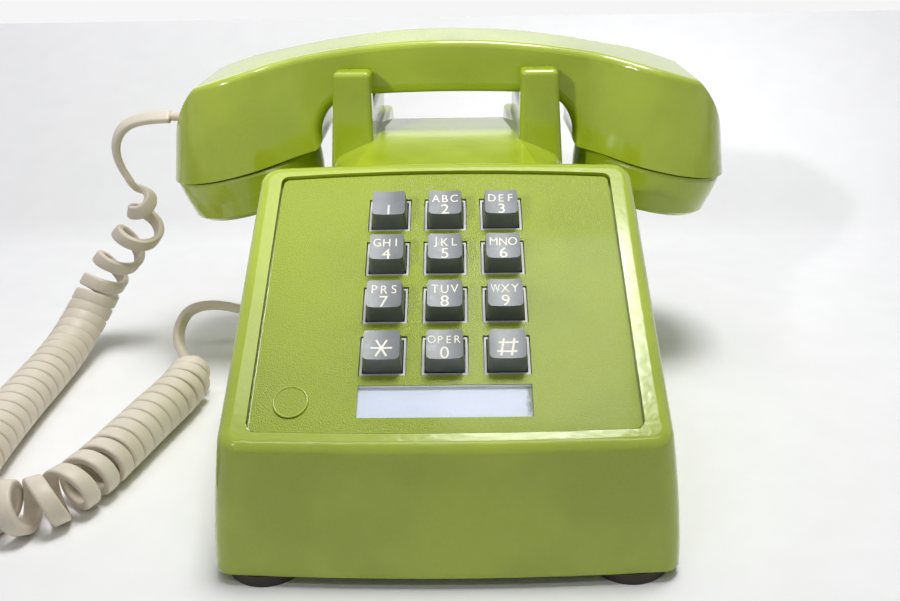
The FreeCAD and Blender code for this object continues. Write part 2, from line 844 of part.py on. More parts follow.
def makeKey(name, x, v):
    body = newBody(name)
    low = sketch(body, name + "_skirt", lift="-keySkirt")
    rectangle(low, "keyWidth", "keyDepth")
    pad(body, name + "_shank", low, "keySkirt")
    foot = sketch(body, name + "_foot")
    rectangle(foot, "keyWidth", "keyDepth")
    crown = sketch(body, name + "_crown", lift="keyRise")
    rectangle(crown, "keyTopWidth", "keyTopDepth")
    cap = body.newObject("PartDesign::AdditiveLoft", name + "_cap")
    cap.Profile = foot
    cap.Sections = [crown]
    doc.recompute()
    corners = []
    for i, edge in enumerate(body.Shape.Edges, 1):
        b = edge.BoundBox
        if b.ZMax > size("keyRise") - 0.01 and b.ZMin < 0.01:
            corners.append(f"Edge{i}")
    soft = body.newObject("PartDesign::Fillet", name + "_corners")
    soft.Base = (cap, corners)
    soft.setExpression("Radius", cell("keyRound"))
    flange = sketch(body, name + "_flange", lift="-keySkirt")
    rectangle(flange, "keyFlange", "keyFlange")
    pad(body, name + "_stop", flange, "keyFlangeThick", down=True)
    stem = sketch(body, name + "_stem", lift="-keySkirt - keyFlangeThick")
    rectangle(stem, "keyStem", "keyStem")
    pad(body, name + "_push", stem, "keyStemLength", down=True)
    dish = sketch(body, name + "_dish", plane="XZ_Plane", lift="-keyWidth")
    circle(dish, "dishRadius", "0", "keyRise + dishRadius - dishDepth")
    scoop = pocket(body, name + "_scoop", dish, "2*keyWidth")
    doc.recompute()
    if body.Shape.Volume > size("keyWidth*keyDepth*(keySkirt + keyRise)"):
        scoop.Reversed = True
        doc.recompute()
    body.Placement = facePlacement()
    slope = "faceSlope"
    body.setExpression("Placement.Base.x", cell(x))
    body.setExpression("Placement.Base.y", cell(f"keypadY + ({v})*cos({slope}*1deg)"))
    body.setExpression("Placement.Base.z", cell(f"keypadZ + ({v})*sin({slope}*1deg)"))
    keep(name, body)


def makeBrackets():
    top = facePlacement(-size("frameUnder"))
    pieces = []
    for side in (-1, 1):
        x, thick, width = side * size("bracketX"), size("bracketThick"), size("bracketWidth")
        panTop = size("panUnder + panThick")
        leg = centred(x, size("bracketY"), panTop + 40, thick, width, 80)
        foot = centred(
            x - side * size("bracketFoot") / 2, size("bracketY"), panTop + thick / 2,
            size("bracketFoot") + thick, width, thick,
        )
        above = Part.makeBox(200, 300, 120)
        above.Placement = Placement(top.multVec(Vector(-100, -150, 0)), top.Rotation)
        pieces.append(leg.cut(above).fuse(foot).removeSplitter())
    shaped("keypad_brackets", Part.makeCompound(pieces))


# base pan, feet and screws


def footSpots():
    return [(f"{i}*foot{end}X", f"foot{end}Y") for i in (-1, 1) for end in ("Front", "Rear")]


def screwSpots():
    return [(f"{i}*screwX", y) for i in (-1, 1) for y in ("screwFrontY", "screwRearY")]


def makeBase():
    body = newBody("base_pan")
    flat = sketch(body, "pan_outline", lift="panUnder")
    panel(flat, "panHalfWidth", "panFront", "panRear", "panCorner", "1.5", "0.001")
    pad(body, "pan_sheet", flat, "panThick")
    holes = sketch(body, "pan_holes", lift="panUnder + panThick")
    for x, y in footSpots():
        circle(holes, "footStem + footHoleSlack", x, y)
    for x, y in screwSpots():
        circle(holes, "screwShaft + footHoleSlack", x, y)
    rectangle(holes, "wheelThick + 2*wheelSlot", "2*wheelRadius + 2*wheelSlot", "wheelX", "wheelY")
    pocket(body, "pan_openings", holes, "panThick")
    keep("base_pan", body)
    feet = []
    for i, (x, y) in enumerate(footSpots()):
        pieces = [
            rod(f"foot_pad_{i}", "footRadius", "footHeight", (x, y, "0")),
            rod(f"foot_neck_{i}", "footNeck", "panUnder - footHeight", (x, y, "footHeight")),
            rod(f"foot_stem_{i}", "footStem", "panThick", (x, y, "panUnder")),
            rod(f"foot_head_{i}", "footHead", "panThick", (x, y, "panUnder + panThick")),
        ]
        feet.append(fuse(f"foot_{i}", pieces))
    keep("rubber_feet", group("rubber_feet", feet))
    screws = []
    for i, (x, y) in enumerate(screwSpots()):
        pieces = [
            rod(f"screw_head_{i}", "screwHead", "screwHeadHeight", (x, y, "panUnder - screwHeadHeight")),
            rod(f"screw_shaft_{i}", "screwShaft", "screwReach", (x, y, "panUnder")),
        ]
        screws.append(fuse(f"screw_{i}", pieces))
    keep("housing_screws", group("housing_screws", screws))


# network block


def makeNetwork():
    low = "panUnder + panThick"
    at = ("networkX - networkLength/2", "networkY - networkWidth/2", low)
    keep("network_block", box("network_block", ("networkLength", "networkWidth", "networkHeight"), at))
    rods = []
    for i in range(4):
        for j in (-1, 1):
            x, y = f"networkX + ({i} - 1.5)*terminalPitch", f"networkY + {j}*1.4*terminalPitch"
            spot = (x, y, low + " + networkHeight")
            rods.append(rod(f"terminal_{i}_{j}", "terminalRadius", "terminalHeight", spot))
    keep("network_terminals", group("network_terminals", rods))


# ringer


def makeRinger():
    low = "panUnder + panThick"
    sole = box(
        "ringer_sole", ("2*ringerHalf", "ringerRear - ringerFront", "ringerThick"),
        ("-ringerHalf", "ringerFront", low),
    )
    wings = [
        box(
            f"ringer_wing_{i}",
            ("ringerThick", "ringerRear - ringerFront", "ringerWing - panUnder - panThick"),
            (x, "ringerFront", low),
        )
        for i, x in enumerate(("-ringerHalf", "ringerHalf - ringerThick"))
    ]
    lug = box(
        "clapper_lug", ("2*clapperHub", "clapperY + clapperHub - ringerRear", "ringerThick"),
        ("-clapperHub", "ringerRear", low),
    )
    pinHeight = "clapperZ + 2*clapperArm - panUnder - panThick"
    pinPost = rod("clapper_pin", "clapperPin", pinHeight, ("0", "clapperY", low))
    shoulder = rod(
        "clapper_shoulder", "clapperHub", "clapperZ - 2*clapperArm - panUnder - panThick",
        ("0", "clapperY", low),
    )
    axle = rod(
        "wheel_axle", "wheelPin", "wheelX + wheelThick/2 + 0.6 - ringerHalf",
        ("ringerHalf - ringerThick/2", "wheelY", "wheelZ"), "x",
    )
    holes = [
        rod(f"core_hole_{i}", "coreRadius", "3*ringerThick", (x, "coilY", "coilZ"), "x")
        for i, x in enumerate(("-ringerHalf - ringerThick", "ringerHalf - 2*ringerThick"))
    ]
    frame = fuse("ringer_body", [sole, wings[0], wings[1], lug, pinPost, shoulder, axle])
    keep("ringer_frame", cut("ringer_frame", frame, holes))
    winding = rod("winding", "coilRadius", "2*coilHalf", ("-coilHalf", "coilY", "coilZ"), "x")
    bore = rod("winding_bore", "coreRadius", "2*coilHalf + 2", ("-coilHalf - 1", "coilY", "coilZ"), "x")
    keep("ringer_coil", cut("ringer_coil", winding, [bore]))
    core = rod("ringer_core", "coreRadius", "2*ringerHalf", ("-ringerHalf", "coilY", "coilZ"), "x")
    keep("ringer_core", core)
    for name, x, radius in (("gong_left", "-gongX", "gongLarge"), ("gong_right", "gongX", "gongSmall")):
        body = newBody(name)
        half = sketch(body, name + "_half", plane="XZ_Plane")
        polygon(half, [
            (radius, "gongFloor"),
            (f"{radius} - 0.4", "gongFloor + gongHeight*0.5"),
            (f"{radius} - 3", "gongFloor + gongHeight*0.8"),
            (f"{radius} - 8", "gongFloor + gongHeight"),
            ("gongHole", "gongFloor + gongHeight"),
            ("gongHole", "gongFloor + gongHeight - gongWall"),
            (f"{radius} - 8.6", "gongFloor + gongHeight - gongWall"),
            (f"{radius} - 3 - gongWall", "gongFloor + gongHeight*0.8 - gongWall*0.6"),
            (f"{radius} - 0.4 - gongWall", "gongFloor + gongHeight*0.5 - gongWall*0.2"),
            (f"{radius} - gongWall", "gongFloor"),
        ])
        turned(body, name + "_shell", half)
        keep(name, place(body, (x, "gongY", "0")))
    posts = []
    for i, x in enumerate(("-gongX", "gongX")):
        top = "gongFloor + gongHeight"
        posts.append(fuse(f"gong_post_{i}", [
            rod(f"gong_stud_{i}", "gongPost", f"{top} - panUnder - panThick", (x, "gongY", low)),
            rod(f"gong_cap_{i}", "gongCap", "gongCapHeight", (x, "gongY", top)),
            rod(f"gong_foot_{i}", "gongCap", f"{top} - gongWall - panUnder - panThick", (x, "gongY", low)),
        ]))
    keep("gong_posts", group("gong_posts", posts))
    hub = rod("clapper_hub", "clapperHub", "2*clapperArm", ("0", "clapperY", "clapperZ - clapperArm"))
    arm = rod("clapper_rod", "clapperArm/2", "clapperReach", ("0", "clapperY", "clapperZ"), "y")
    ball = doc.addObject("Part::Sphere", "clapper_ball")
    bind(ball, Radius="clapperBall")
    place(ball, ("0", "clapperY + clapperReach", "clapperZ"))
    under = ("0", "clapperY", "clapperZ - 4*clapperArm")
    bore = rod("clapper_bore", "clapperPin + clapperSlack", "8*clapperArm", under)
    keep("clapper", cut("clapper", fuse("clapper_body", [hub, arm, ball]), [bore]))
    inside = ("wheelX - wheelThick/2", "wheelY", "wheelZ")
    beyond = ("wheelX - 1.5*wheelThick", "wheelY", "wheelZ")
    disc = rod("wheel_disc", "wheelRadius", "wheelThick", inside, "x")
    bore = rod("wheel_hole", "wheelBore", "3*wheelThick", beyond, "x")
    keep("volume_wheel", cut("volume_wheel", disc, [bore]))


# hook switch


def makeHookSwitch():
    low = "panUnder + panThick"
    spans = ("2*hookHalf", "hookThick", "hookTop - panUnder - panThick")
    plate = box("hook_plate", spans, ("-hookHalf", "hookY", low))
    foot = box("hook_foot", ("2*hookHalf", "6", "hookThick"), ("-hookHalf", "hookY - 6 + hookThick", low))
    cheeks = [
        box(
            f"hook_cheek_{i}", ("hookThick", "pivotY + leverHub - hookY", "2*leverHub + 10"),
            (x, "hookY", "pivotZ - leverHub - 10"),
        )
        for i, x in enumerate(("-hookHalf", "hookHalf - hookThick"))
    ]
    holes = [rod("hook_pin_hole", "pivotPin", "2*hookHalf + 4", ("-hookHalf - 2", "pivotY", "pivotZ"), "x")]
    keep("hook_bracket", cut("hook_bracket", fuse("hook_frame", [plate, foot] + cheeks), holes))
    span = "2*(leverX + leverWidth/2) + 2"
    pinStart = ("-leverX - leverWidth/2 - 1", "pivotY", "pivotZ")
    keep("hook_pin", rod("hook_pin", "pivotPin", span, pinStart, "x"))
    inner = "hookHalf - hookThick - 0.5"
    pieces = [
        rod("lever_tube", "leverHub", f"2*({inner})", (f"-({inner})", "pivotY", "pivotZ"), "x"),
        box(
            "lever_tail", ("leverWidth", "leverThick", "tailLength"),
            ("-leverWidth/2", "pivotY + leverHub - leverThick", "pivotZ - tailLength"),
        ),
    ]
    bores = [rod("lever_bore", "pivotPin + pivotSlack", "4*leverX", ("-2*leverX", "pivotY", "pivotZ"), "x")]
    for i, side in enumerate((-1, 1)):
        x = f"{side}*leverX - leverWidth/2"
        pieces.append(rod(f"lever_eye_{i}", "leverHub", "leverWidth", (x, "pivotY", "pivotZ"), "x"))
        arm = box(f"lever_arm_{i}", ("leverWidth", "leverReach", "leverThick"), (x, "pivotY", "pivotZ"))
        pieces.append(arm)
    bridge = box(
        "lever_bridge", ("2*leverX", "leverThick", "leverThick"),
        ("-leverX", "pivotY + leverHub + 1.0", "pivotZ"),
    )
    link = box(
        "lever_link", ("2*leverWidth", "leverHub + 1.5", "leverThick"), ("-leverWidth", "pivotY", "pivotZ"),
    )
    keep("hook_lever", cut("hook_lever", fuse("lever_body", pieces + [bridge, link]), bores))
    pile = [
        box(
            f"pile_block_{i}", ("pileWidth/5", "pileDepth", "pileHeight"),
            (f"({i} - 1)*pileWidth/2.5 - pileWidth/10", "hookY + hookThick", "pileZ"),
        )
        for i in range(3)
    ]
    leaves = [
        box(
            f"pile_leaf_{i}", ("pileWidth", "0.5", "pileHeight*0.7"),
            ("-pileWidth/2", f"hookY + hookThick + 2 + {i}*2", "pileZ + pileHeight*0.15"),
        )
        for i in range(4)
    ]
    keep("contact_pile", fuse("contact_pile", pile + leaves))
    for name, side in (("plunger_left", -1), ("plunger_right", 1)):
        body = newBody(name)
        post = sketch(body, name + "_outline", lift="plungerFoot")
        rectangle(post, "plungerWidth", "plungerDepth")
        pad(body, name + "_post", post, "plungerTop - plungerFoot")
        flange = sketch(body, name + "_flange", lift="plungerFoot")
        rectangle(flange, "plungerWidth + 2*plungerFlange", "plungerDepth + 6*plungerFlange")
        pad(body, name + "_stop", flange, "plungerFlangeThick")
        keep(name, place(body, (f"{side}*plungerX", "plungerY", "0")))


# jacks and plugs


def makeJacks():
    shell = box(
        "line_shell", ("lineJackWidth", "lineJackBack - lineJackFront", "lineJackHeight"),
        ("lineJackX - lineJackWidth/2", "lineJackFront", "lineJackZ - lineJackHeight/2"),
    )
    socket = box(
        "line_socket", ("socketWidth", "socketDepth + 2", "socketHeight"),
        ("lineJackX - socketWidth/2", "lineJackBack - socketDepth", "lineJackZ - socketHeight/2"),
    )
    keep("line_jack", cut("line_jack", shell, [socket]))
    shell = box(
        "side_shell", ("sideJackInner - sideJackOuter", "sideJackWidth", "sideJackHeight"),
        ("sideJackOuter", "sideJackY - sideJackWidth/2", "sideJackZ - sideJackHeight/2"),
    )
    socket = box(
        "side_socket", ("plugLength", "plugWidth + 0.4", "plugHeight + 0.4"),
        ("sideJackOuter - 1", "sideJackY - plugWidth/2 - 0.2", "sideJackZ - plugHeight/2 - 0.2"),
    )
    keep("handset_jack", cut("handset_jack", shell, [socket]))
    plugTip = "sideJackOuter + plugLength - 1.6"
    body = box(
        "side_plug_body", ("plugLength", "plugWidth", "plugHeight"),
        ("sideJackOuter - 1.6", "sideJackY - plugWidth/2", "sideJackZ - plugHeight/2"),
    )
    neckLength = "10.4 + sideJackOuter + 64 - 1.6"
    neck = rod("side_plug_neck", "plugNeck/2", neckLength, ("-74.4", "sideJackY", "sideJackZ"), "x")
    keep("base_plug", fuse("base_plug", [body, neck]))
    shell = box(
        "end_shell", ("endJackInner - endJackOuter", "endJackWidth", "endJackHeight"),
        ("endJackOuter", "handsetY - endJackWidth/2", "handleEndMidZ - endJackHeight/2"),
    )
    socket = box(
        "end_socket", ("plugLength + 0.5", "plugWidth + 0.4", "plugHeight + 0.4"),
        ("endJackOuter - 1", "handsetY - plugWidth/2 - 0.2", "handleEndMidZ - plugHeight/2 - 0.2"),
    )
    keep("handset_end_jack", cut("handset_end_jack", shell, [socket]))
    body = box(
        "end_plug_body", ("plugLength", "plugWidth", "plugHeight"),
        ("endJackOuter - 0.6", "handsetY - plugWidth/2", "handleEndMidZ - plugHeight/2"),
    )
    neck = rod(
        "end_plug_neck", "plugNeck/2", "endJackOuter - endPlugNeckEnd",
        ("endPlugNeckEnd", "handsetY", "handleEndMidZ"), "x",
    )
    keep("handset_plug", fuse("handset_plug", [body, neck]))


# handset


def cupPlacement(side):
    return Placement(
        Vector(side * size("seamX"), size("handsetY"), size("seamZ")),
        Rotation(Vector(0, 1, 0), side * size("seamTilt")),
    )


def handlePlan(bar, cup, z):
    cx, blend = size("cupX"), size("blendRadius")
    start = cx - math.sqrt((blend + cup) ** 2 - (bar + blend) ** 2)
    toward = Vector(start - cx, bar + blend, 0).normalize()
    touch = Vector(cx, 0, 0) + toward * cup
    middle = Vector(start, bar + blend, 0) + (Vector(0, -1, 0) - toward).normalize() * blend

    def corner(sx, sy):
        points = (Vector(start, bar, 0), middle, touch, Vector(cx + cup, 0, 0))
        return [Vector(p.x * sx, size("handsetY") + p.y * sy, z) for p in points]

    a, b, c, d = corner(1, 1), corner(1, -1), corner(-1, -1), corner(-1, 1)
    edges = [
        Part.LineSegment(d[0], a[0]),
        Part.Arc(a[0], a[1], a[2]),
        Part.Arc(a[2], a[3], b[2]),
        Part.Arc(b[2], b[1], b[0]),
        Part.LineSegment(b[0], c[0]),
        Part.Arc(c[0], c[1], c[2]),
        Part.Arc(c[2], c[3], d[2]),
        Part.Arc(d[2], d[1], d[0]),
    ]
    return Part.Wire([edge.toShape() for edge in edges])


def handleElevation():
    y = size("handsetY") - 50
    radius, top, corner = size("handleTopRadius"), size("handleTop"), size("handleCornerX")
    cornerZ = top - radius + math.sqrt(radius ** 2 - corner ** 2)
    tilt = math.tan(math.radians(size("seamTilt")))

    def seam(x):
        return size("seamZ") - (x - size("seamX")) * tilt

    under, start, end = size("handleUnder"), size("archStart"), size("archEnd")
    drop = under - seam(end)
    arch = ((end - start) ** 2 + drop ** 2) / (2 * drop)
    turn = (math.pi / 2 + math.atan2(seam(end) - under + arch, end - start)) / 2
    archX, archZ = start + arch * math.cos(turn), under - arch + arch * math.sin(turn)
    endX, endZ = size("handleEndX"), size("handleEndZ")
    midX, midZ = size("handleEndMidX"), size("handleEndMidZ")

    def at(x, z):
        return Vector(x, y, z)

    edges = [
        Part.Arc(at(-corner, cornerZ), at(0, top), at(corner, cornerZ)),
        Part.Arc(at(corner, cornerZ), at(midX, midZ), at(endX, endZ)),
        Part.LineSegment(at(endX, endZ), at(endX, seam(endX))),
        Part.LineSegment(at(endX, seam(endX)), at(end, seam(end))),
        Part.Arc(at(end, seam(end)), at(archX, archZ), at(start, under)),
        Part.Arc(at(start, under), at(0, under + size("handleUnderRise")), at(-start, under)),
        Part.Arc(at(-start, under), at(-archX, archZ), at(-end, seam(end))),
        Part.LineSegment(at(-end, seam(end)), at(-endX, seam(endX))),
        Part.LineSegment(at(-endX, seam(endX)), at(-endX, endZ)),
        Part.Arc(at(-endX, endZ), at(-midX, midZ), at(-corner, cornerZ)),
    ]
    return Part.Face(Part.Wire([edge.toShape() for edge in edges])).extrude(Vector(0, 100, 0))


def makeHandle():
    low, high = size("loftLow"), size("loftHigh")
    lower = handlePlan(size("barLow"), size("cupLow"), low)
    upper = handlePlan(size("barHigh"), size("cupHigh"), high)
    plan = Part.makeLoft([lower, upper], True, True)
    solid = handleElevation().common(plan)

    def onRidge(edge):
        radius, top = size("handleTopRadius"), size("handleTop")
        far = max(abs(math.hypot(v.X, v.Z - top + radius) - radius) for v in edge.Vertexes)
        return far < 0.02 and edge.BoundBox.ZMin > 115

    def underside(edge):
        b = edge.BoundBox
        level = size("handleUnder")
        across = min(abs(b.YMin - size("handsetY")), abs(b.YMax - size("handsetY"))) > 15
        return across and b.ZMax < level + 1.2 and b.ZMin > 97.5 and max(abs(b.XMin), abs(b.XMax)) < 51

    solid = solid.makeFillet(size("ridgeRound"), [e for e in solid.Edges if onRidge(e)])
    solid = solid.makeFillet(size("underRound"), [e for e in solid.Edges if underside(e)])
    for side in (-1, 1):
        mouth = Part.makeCylinder(size("cavityRadius"), size("cavityStep") + 5, Vector(0, 0, -5))
        bore = Part.makeCylinder(size("boreRadius"), size("cavityDepth") + 5, Vector(0, 0, -5))
        cavity = mouth.fuse(bore)
        cavity.Placement = cupPlacement(side)
        solid = solid.cut(cavity)
    pocketLength = size("endJackInner") + 120
    jack = Part.makeBox(
        pocketLength, size("endJackWidth"), size("endJackHeight"),
        Vector(
            -120, size("handsetY") - size("endJackWidth") / 2,
            size("handleEndMidZ") - size("endJackHeight") / 2,
        ),
    )
    shaped("handset_handle", solid.cut(jack).removeSplitter())


def makeCapsules():
    for name, side in (("transmitter_cap", -1), ("receiver_cap", 1)):
        body = newBody(name)
        half = sketch(body, name + "_half", plane="XZ_Plane")
        polygon(half, [
            ("spigotRadius", "spigotHeight"),
            ("spigotRadius", "-seamGap"),
            ("capRim - 0.7", "-seamGap"),
            ("capRim", "-seamGap - 1.2"),
            ("capRim - 0.3", "-seamGap - 4.5"),
            ("capRim - 0.9", "-seamGap - 9"),
            ("capFace + 0.9", "-capDepth + 1.6"),
            ("capFace - 1.2", "-capDepth - 0.3"),
            ("capFace - 6", "-capDepth - capDome*0.6"),
            ("0", "-capDepth - capDome"),
            ("0", "-capDepth - capDome + capWall"),
            ("capFace - 6", "-capDepth - capDome*0.6 + capWall"),
            ("spigotRadius - capWall", "-capDepth + 3.6"),
            ("spigotRadius - capWall", "spigotHeight"),
        ])
        turned(body, name + "_shell", half)
        holes = sketch(body, name + "_holes", lift="-capDepth - capDome - 1")
        if side < 0:
            circle(holes, "mouthHole")
            rings = (("ringOne", 6), ("ringTwo", 12))
            radius = "mouthHole"
        else:
            circle(holes, "earHole")
            rings = (("ringOne*0.75", 6),)
            radius = "earHole"
        for ring, count in rings:
            for i in range(count):
                angle = 360.0 * i / count + 7.5
                circle(holes, radius, f"{ring}*cos({angle}deg)", f"{ring}*sin({angle}deg)")
        pocket(body, name + "_openings", holes, "capWall + capDome + 2", up=True)
        keep(name, place(body, (f"{side}*seamX", "handsetY", "seamZ"), (0, 1, 0), f"{side}*seamTilt"))
    units = (("transmitter_unit", -1, "capsuleTop"), ("receiver_unit", 1, "contactCupTop - 0.6"))
    for name, side, top in units:
        body = newBody(name)
        half = sketch(body, name + "_half", plane="XZ_Plane")
        polygon(half, [
            ("0", "-capsuleBottom"),
            ("capsuleRadius - 6", "-capsuleBottom"),
            ("capsuleRadius", "-capsuleBottom + 3"),
            ("capsuleRadius", "-capsuleBottom + 6"),
            ("capsuleRadius - 3", "-capsuleBottom + 7"),
            ("capsuleRadius - 3", top),
            ("0", top),
        ])
        turned(body, name + "_can", half)
        keep(name, place(body, (f"{side}*seamX", "handsetY", "seamZ"), (0, 1, 0), f"{side}*seamTilt"))
    body = newBody("transmitter_cup")
    half = sketch(body, "transmitter_cup_half", plane="XZ_Plane")
    polygon(half, [
        ("0", "contactCupTop"),
        ("contactCupRadius", "contactCupTop"),
        ("contactCupRadius", "contactCupFloor"),
        ("contactCupRadius - 3", "contactCupFloor"),
        ("contactCupRadius - 3", "contactCupTop - 2.4"),
        ("0", "contactCupTop - 2.4"),
    ])
    turned(body, "transmitter_cup_shell", half)
    keep("transmitter_cup", place(body, ("-seamX", "handsetY", "seamZ"), (0, 1, 0), "-seamTilt"))


# curly cord: a helix wound round a route of straight runs and tangent arcs


def routePieces():
    points = [Vector(*p) for p in cordRoute]
    runs = [(points[i + 1] - points[i]).Length for i in range(len(points) - 1)]
    pieces = []
    at = points[0]
    for i in range(1, len(points) - 1):
        into = (points[i] - points[i - 1]).normalize()
        out = (points[i + 1] - points[i]).normalize()
        back = 0.45 * min(runs[i - 1], runs[i])
        turn = into.getAngle(out)
        begin, finish = points[i] - into * back, points[i] + out * back
        pieces.append(("line", at, begin, into))
        radius = back / math.tan(turn / 2)
        centre = points[i] + (out - into).normalize() * (radius / math.cos(turn / 2))
        pieces.append(("arc", begin, centre, into, radius, turn))
        at = finish
    last = (points[-1] - at).normalize()
    pieces.append(("line", at, points[-1], last))
    return pieces


def pieceLength(piece):
    return (piece[2] - piece[1]).Length if piece[0] == "line" else piece[4] * piece[5]


def routeSpot(pieces, distance):
    for piece in pieces:
        length = pieceLength(piece)
        if distance <= length or piece is pieces[-1]:
            break
        distance -= length
    if piece[0] == "line":
        return piece[1] + piece[3] * distance, piece[3]
    angle = distance / piece[4]
    arm = piece[1] - piece[2]
    ahead = piece[3]
    return (
        piece[2] + arm * math.cos(angle) + ahead * (piece[4] * math.sin(angle)),
        ahead * math.cos(angle) - arm * (math.sin(angle) / piece[4]),
    )


def smooth(t):
    t = max(0.0, min(1.0, t))
    return t * t * (3 - 2 * t)


def cordPath():
    pieces = routePieces()
    total = sum(pieceLength(p) for p in pieces)
    step = 0.25
    count = int(total / step)
    tail, ramp, lowTail = size("tailUpper"), size("rampLength"), size("tailLower")
    looseEnd, looseRamp = size("looseEnd"), size("looseRamp")
    bendAt, bendSpan, bendPitch = size("bendAt"), size("bendSpan"), size("bendPitch")
    curlRadius, curlPitch, loosePitch = size("curlRadius"), size("curlPitch"), size("loosePitch")
    side = Vector(0, 0, 1)
    phase = 0.0
    points = []
    for i in range(count + 1):
        s = total * i / count
        spot, ahead = routeSpot(pieces, s)
        side = (side - ahead * side.dot(ahead)).normalize()
        other = ahead.cross(side)
        swell = smooth((s - tail) / ramp) * smooth((total - lowTail - s) / ramp)
        tight = smooth((s - looseEnd) / looseRamp) * smooth((total - lowTail - s) / ramp)
        bend = max(0.0, 1 - ((s - bendAt) / bendSpan) ** 2)
        pitch = loosePitch + (curlPitch - loosePitch) * tight + bendPitch * bend
        phase += 2 * math.pi * (total / count) / pitch
        radius = curlRadius * swell
        offset = side * (radius * math.cos(phase)) + other * (radius * math.sin(phase))
        points.append((spot + offset, phase, swell))
    return points, total


def biarc(a, b, ta, tb):
    v, t = b - a, ta + tb
    k = 2 * (1 - ta.dot(tb))
    if k < 1e-9:
        reach = v.dot(v) / (2 * v.dot(t))
    else:
        reach = (-v.dot(t) + math.sqrt(v.dot(t) ** 2 + k * v.dot(v))) / k
    meet = (a + ta * reach + b - tb * reach) * 0.5

    def arc(p, q, knee):
        into, out = (p - knee).normalize(), (q - knee).normalize()
        half = into.getAngle(out) / 2
        if half > math.pi / 2 - 1e-4:
            return Part.LineSegment(p, q).toShape(), 1e9
        length = (p - knee).Length
        radius = length * math.tan(half)
        middle = knee + (into + out).normalize() * (length / math.cos(half) - radius)
        return Part.Arc(p, middle, q).toShape(), radius

    first, r1 = arc(a, meet, a + ta * reach)
    second, r2 = arc(meet, b, b - tb * reach)
    return [first, second], min(r1, r2)


def makeCord():
    path, total = cordPath()
    picks = [0]
    turnAt = path[0][1] + math.pi / 2
    for i, (p, phase, swell) in enumerate(path):
        if phase >= turnAt and i < len(path) - 12:
            picks.append(i)
            turnAt = phase + math.pi / 2
    picks.append(len(path) - 1)

    def ahead(i):
        return (path[min(i + 1, len(path) - 1)][0] - path[max(i - 1, 0)][0]).normalize()

    edges, tightest = [], 1e9
    for i, j in zip(picks, picks[1:]):
        pair, radius = biarc(path[i][0], path[j][0], ahead(i), ahead(j))
        edges += pair
        tightest = min(tightest, radius)
    wire = Part.Wire(edges)
    start = path[0][0]
    section = Part.Wire([Part.Circle(start, ahead(0), size("cordDiameter") / 2).toShape()])
    tube = wire.makePipeShell([section], True, False)
    curls = (path[-1][1] - path[0][1]) / (2 * math.pi)
    length = sum(e.Length for e in edges)
    thin = [p for p, phase, swell in path[::2]]
    least = min(a.distanceToPoint(b) for i, a in enumerate(thin) for b in thin[i + 9:])
    print(f"cord: centre line {total:.0f} mm, wire {length:.0f} mm, curls {curls:.1f}")
    print(f"cord: tightest radius {tightest:.2f} mm")
    lowest = min(p.z for p, phase, swell in path) - size("cordDiameter") / 2
    print(f"cord: least gap between curls {least - size('cordDiameter'):.2f} mm, lowest {lowest:.2f} mm")
    bends = [piece[4] for piece in routePieces() if piece[0] == "arc"]
    print("cord: route radii", " ".join(f"{radius:.0f}" for radius in bends))
    shaped("handset_cord", tube)


makeHousing()
makeFaceplate()
makeKeypad()
for name, (x, v) in zip(keyNames, wellSpots):
    makeKey("key_" + name, x, v)
makeBrackets()
makeBase()
makeNetwork()
makeRinger()
makeHookSwitch()
makeJacks()
makeHandle()
makeCapsules()
makeCord()
doc.recompute()

for obj in doc.Objects:
    if any(flag in obj.State for flag in ("Invalid", "Error")):
        raise SystemExit(f"{obj.Label} did not compute: {obj.State}")
os.makedirs("parts", exist_ok=True)
for name, obj in nodes.items():
    shape = obj.Shape
    if shape.isNull() or not shape.isValid() or not shape.Solids:
        raise SystemExit(f"{name} is not a sound solid")
    shape.exportStep(f"parts/{name}.step")
print(len(nodes), "nodes")
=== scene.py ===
import math
import bmesh
import bpy
import numpy as np
from mathutils import Matrix, Vector


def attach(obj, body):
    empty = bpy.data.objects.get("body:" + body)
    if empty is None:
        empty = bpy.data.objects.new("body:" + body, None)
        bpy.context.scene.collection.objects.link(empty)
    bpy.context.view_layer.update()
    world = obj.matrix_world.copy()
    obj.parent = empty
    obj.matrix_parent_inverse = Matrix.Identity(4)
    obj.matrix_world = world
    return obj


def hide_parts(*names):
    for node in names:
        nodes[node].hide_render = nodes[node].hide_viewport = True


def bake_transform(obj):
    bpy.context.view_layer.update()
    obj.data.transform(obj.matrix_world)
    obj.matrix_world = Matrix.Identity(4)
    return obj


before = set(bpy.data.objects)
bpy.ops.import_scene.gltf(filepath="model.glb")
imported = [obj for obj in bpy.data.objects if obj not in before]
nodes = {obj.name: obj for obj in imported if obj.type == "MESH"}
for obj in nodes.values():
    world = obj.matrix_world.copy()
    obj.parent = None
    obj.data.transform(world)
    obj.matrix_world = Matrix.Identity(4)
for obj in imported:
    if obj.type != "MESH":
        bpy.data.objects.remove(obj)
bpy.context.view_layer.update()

scene = bpy.context.scene
scene.view_settings.view_transform = "Standard"


def linear(text):  # "#rrggbb" to scene colour
    parts = [int(text[i:i + 2], 16) / 255 for i in (1, 3, 5)]
    return (*[c / 12.92 if c < 0.04045 else ((c + 0.055) / 1.055) ** 2.4 for c in parts], 1.0)


def addObject(name, data):
    made = bpy.data.objects.new(name, data)
    scene.collection.objects.link(made)
    return made


# camera

view = {
    "at": (0.00545, -0.31468, 0.19319),
    "turn": 0.866,
    "tilt": 65.004,
    "roll": -0.977,
    "lens": 35.37,
    "sensor": 36.0,
}

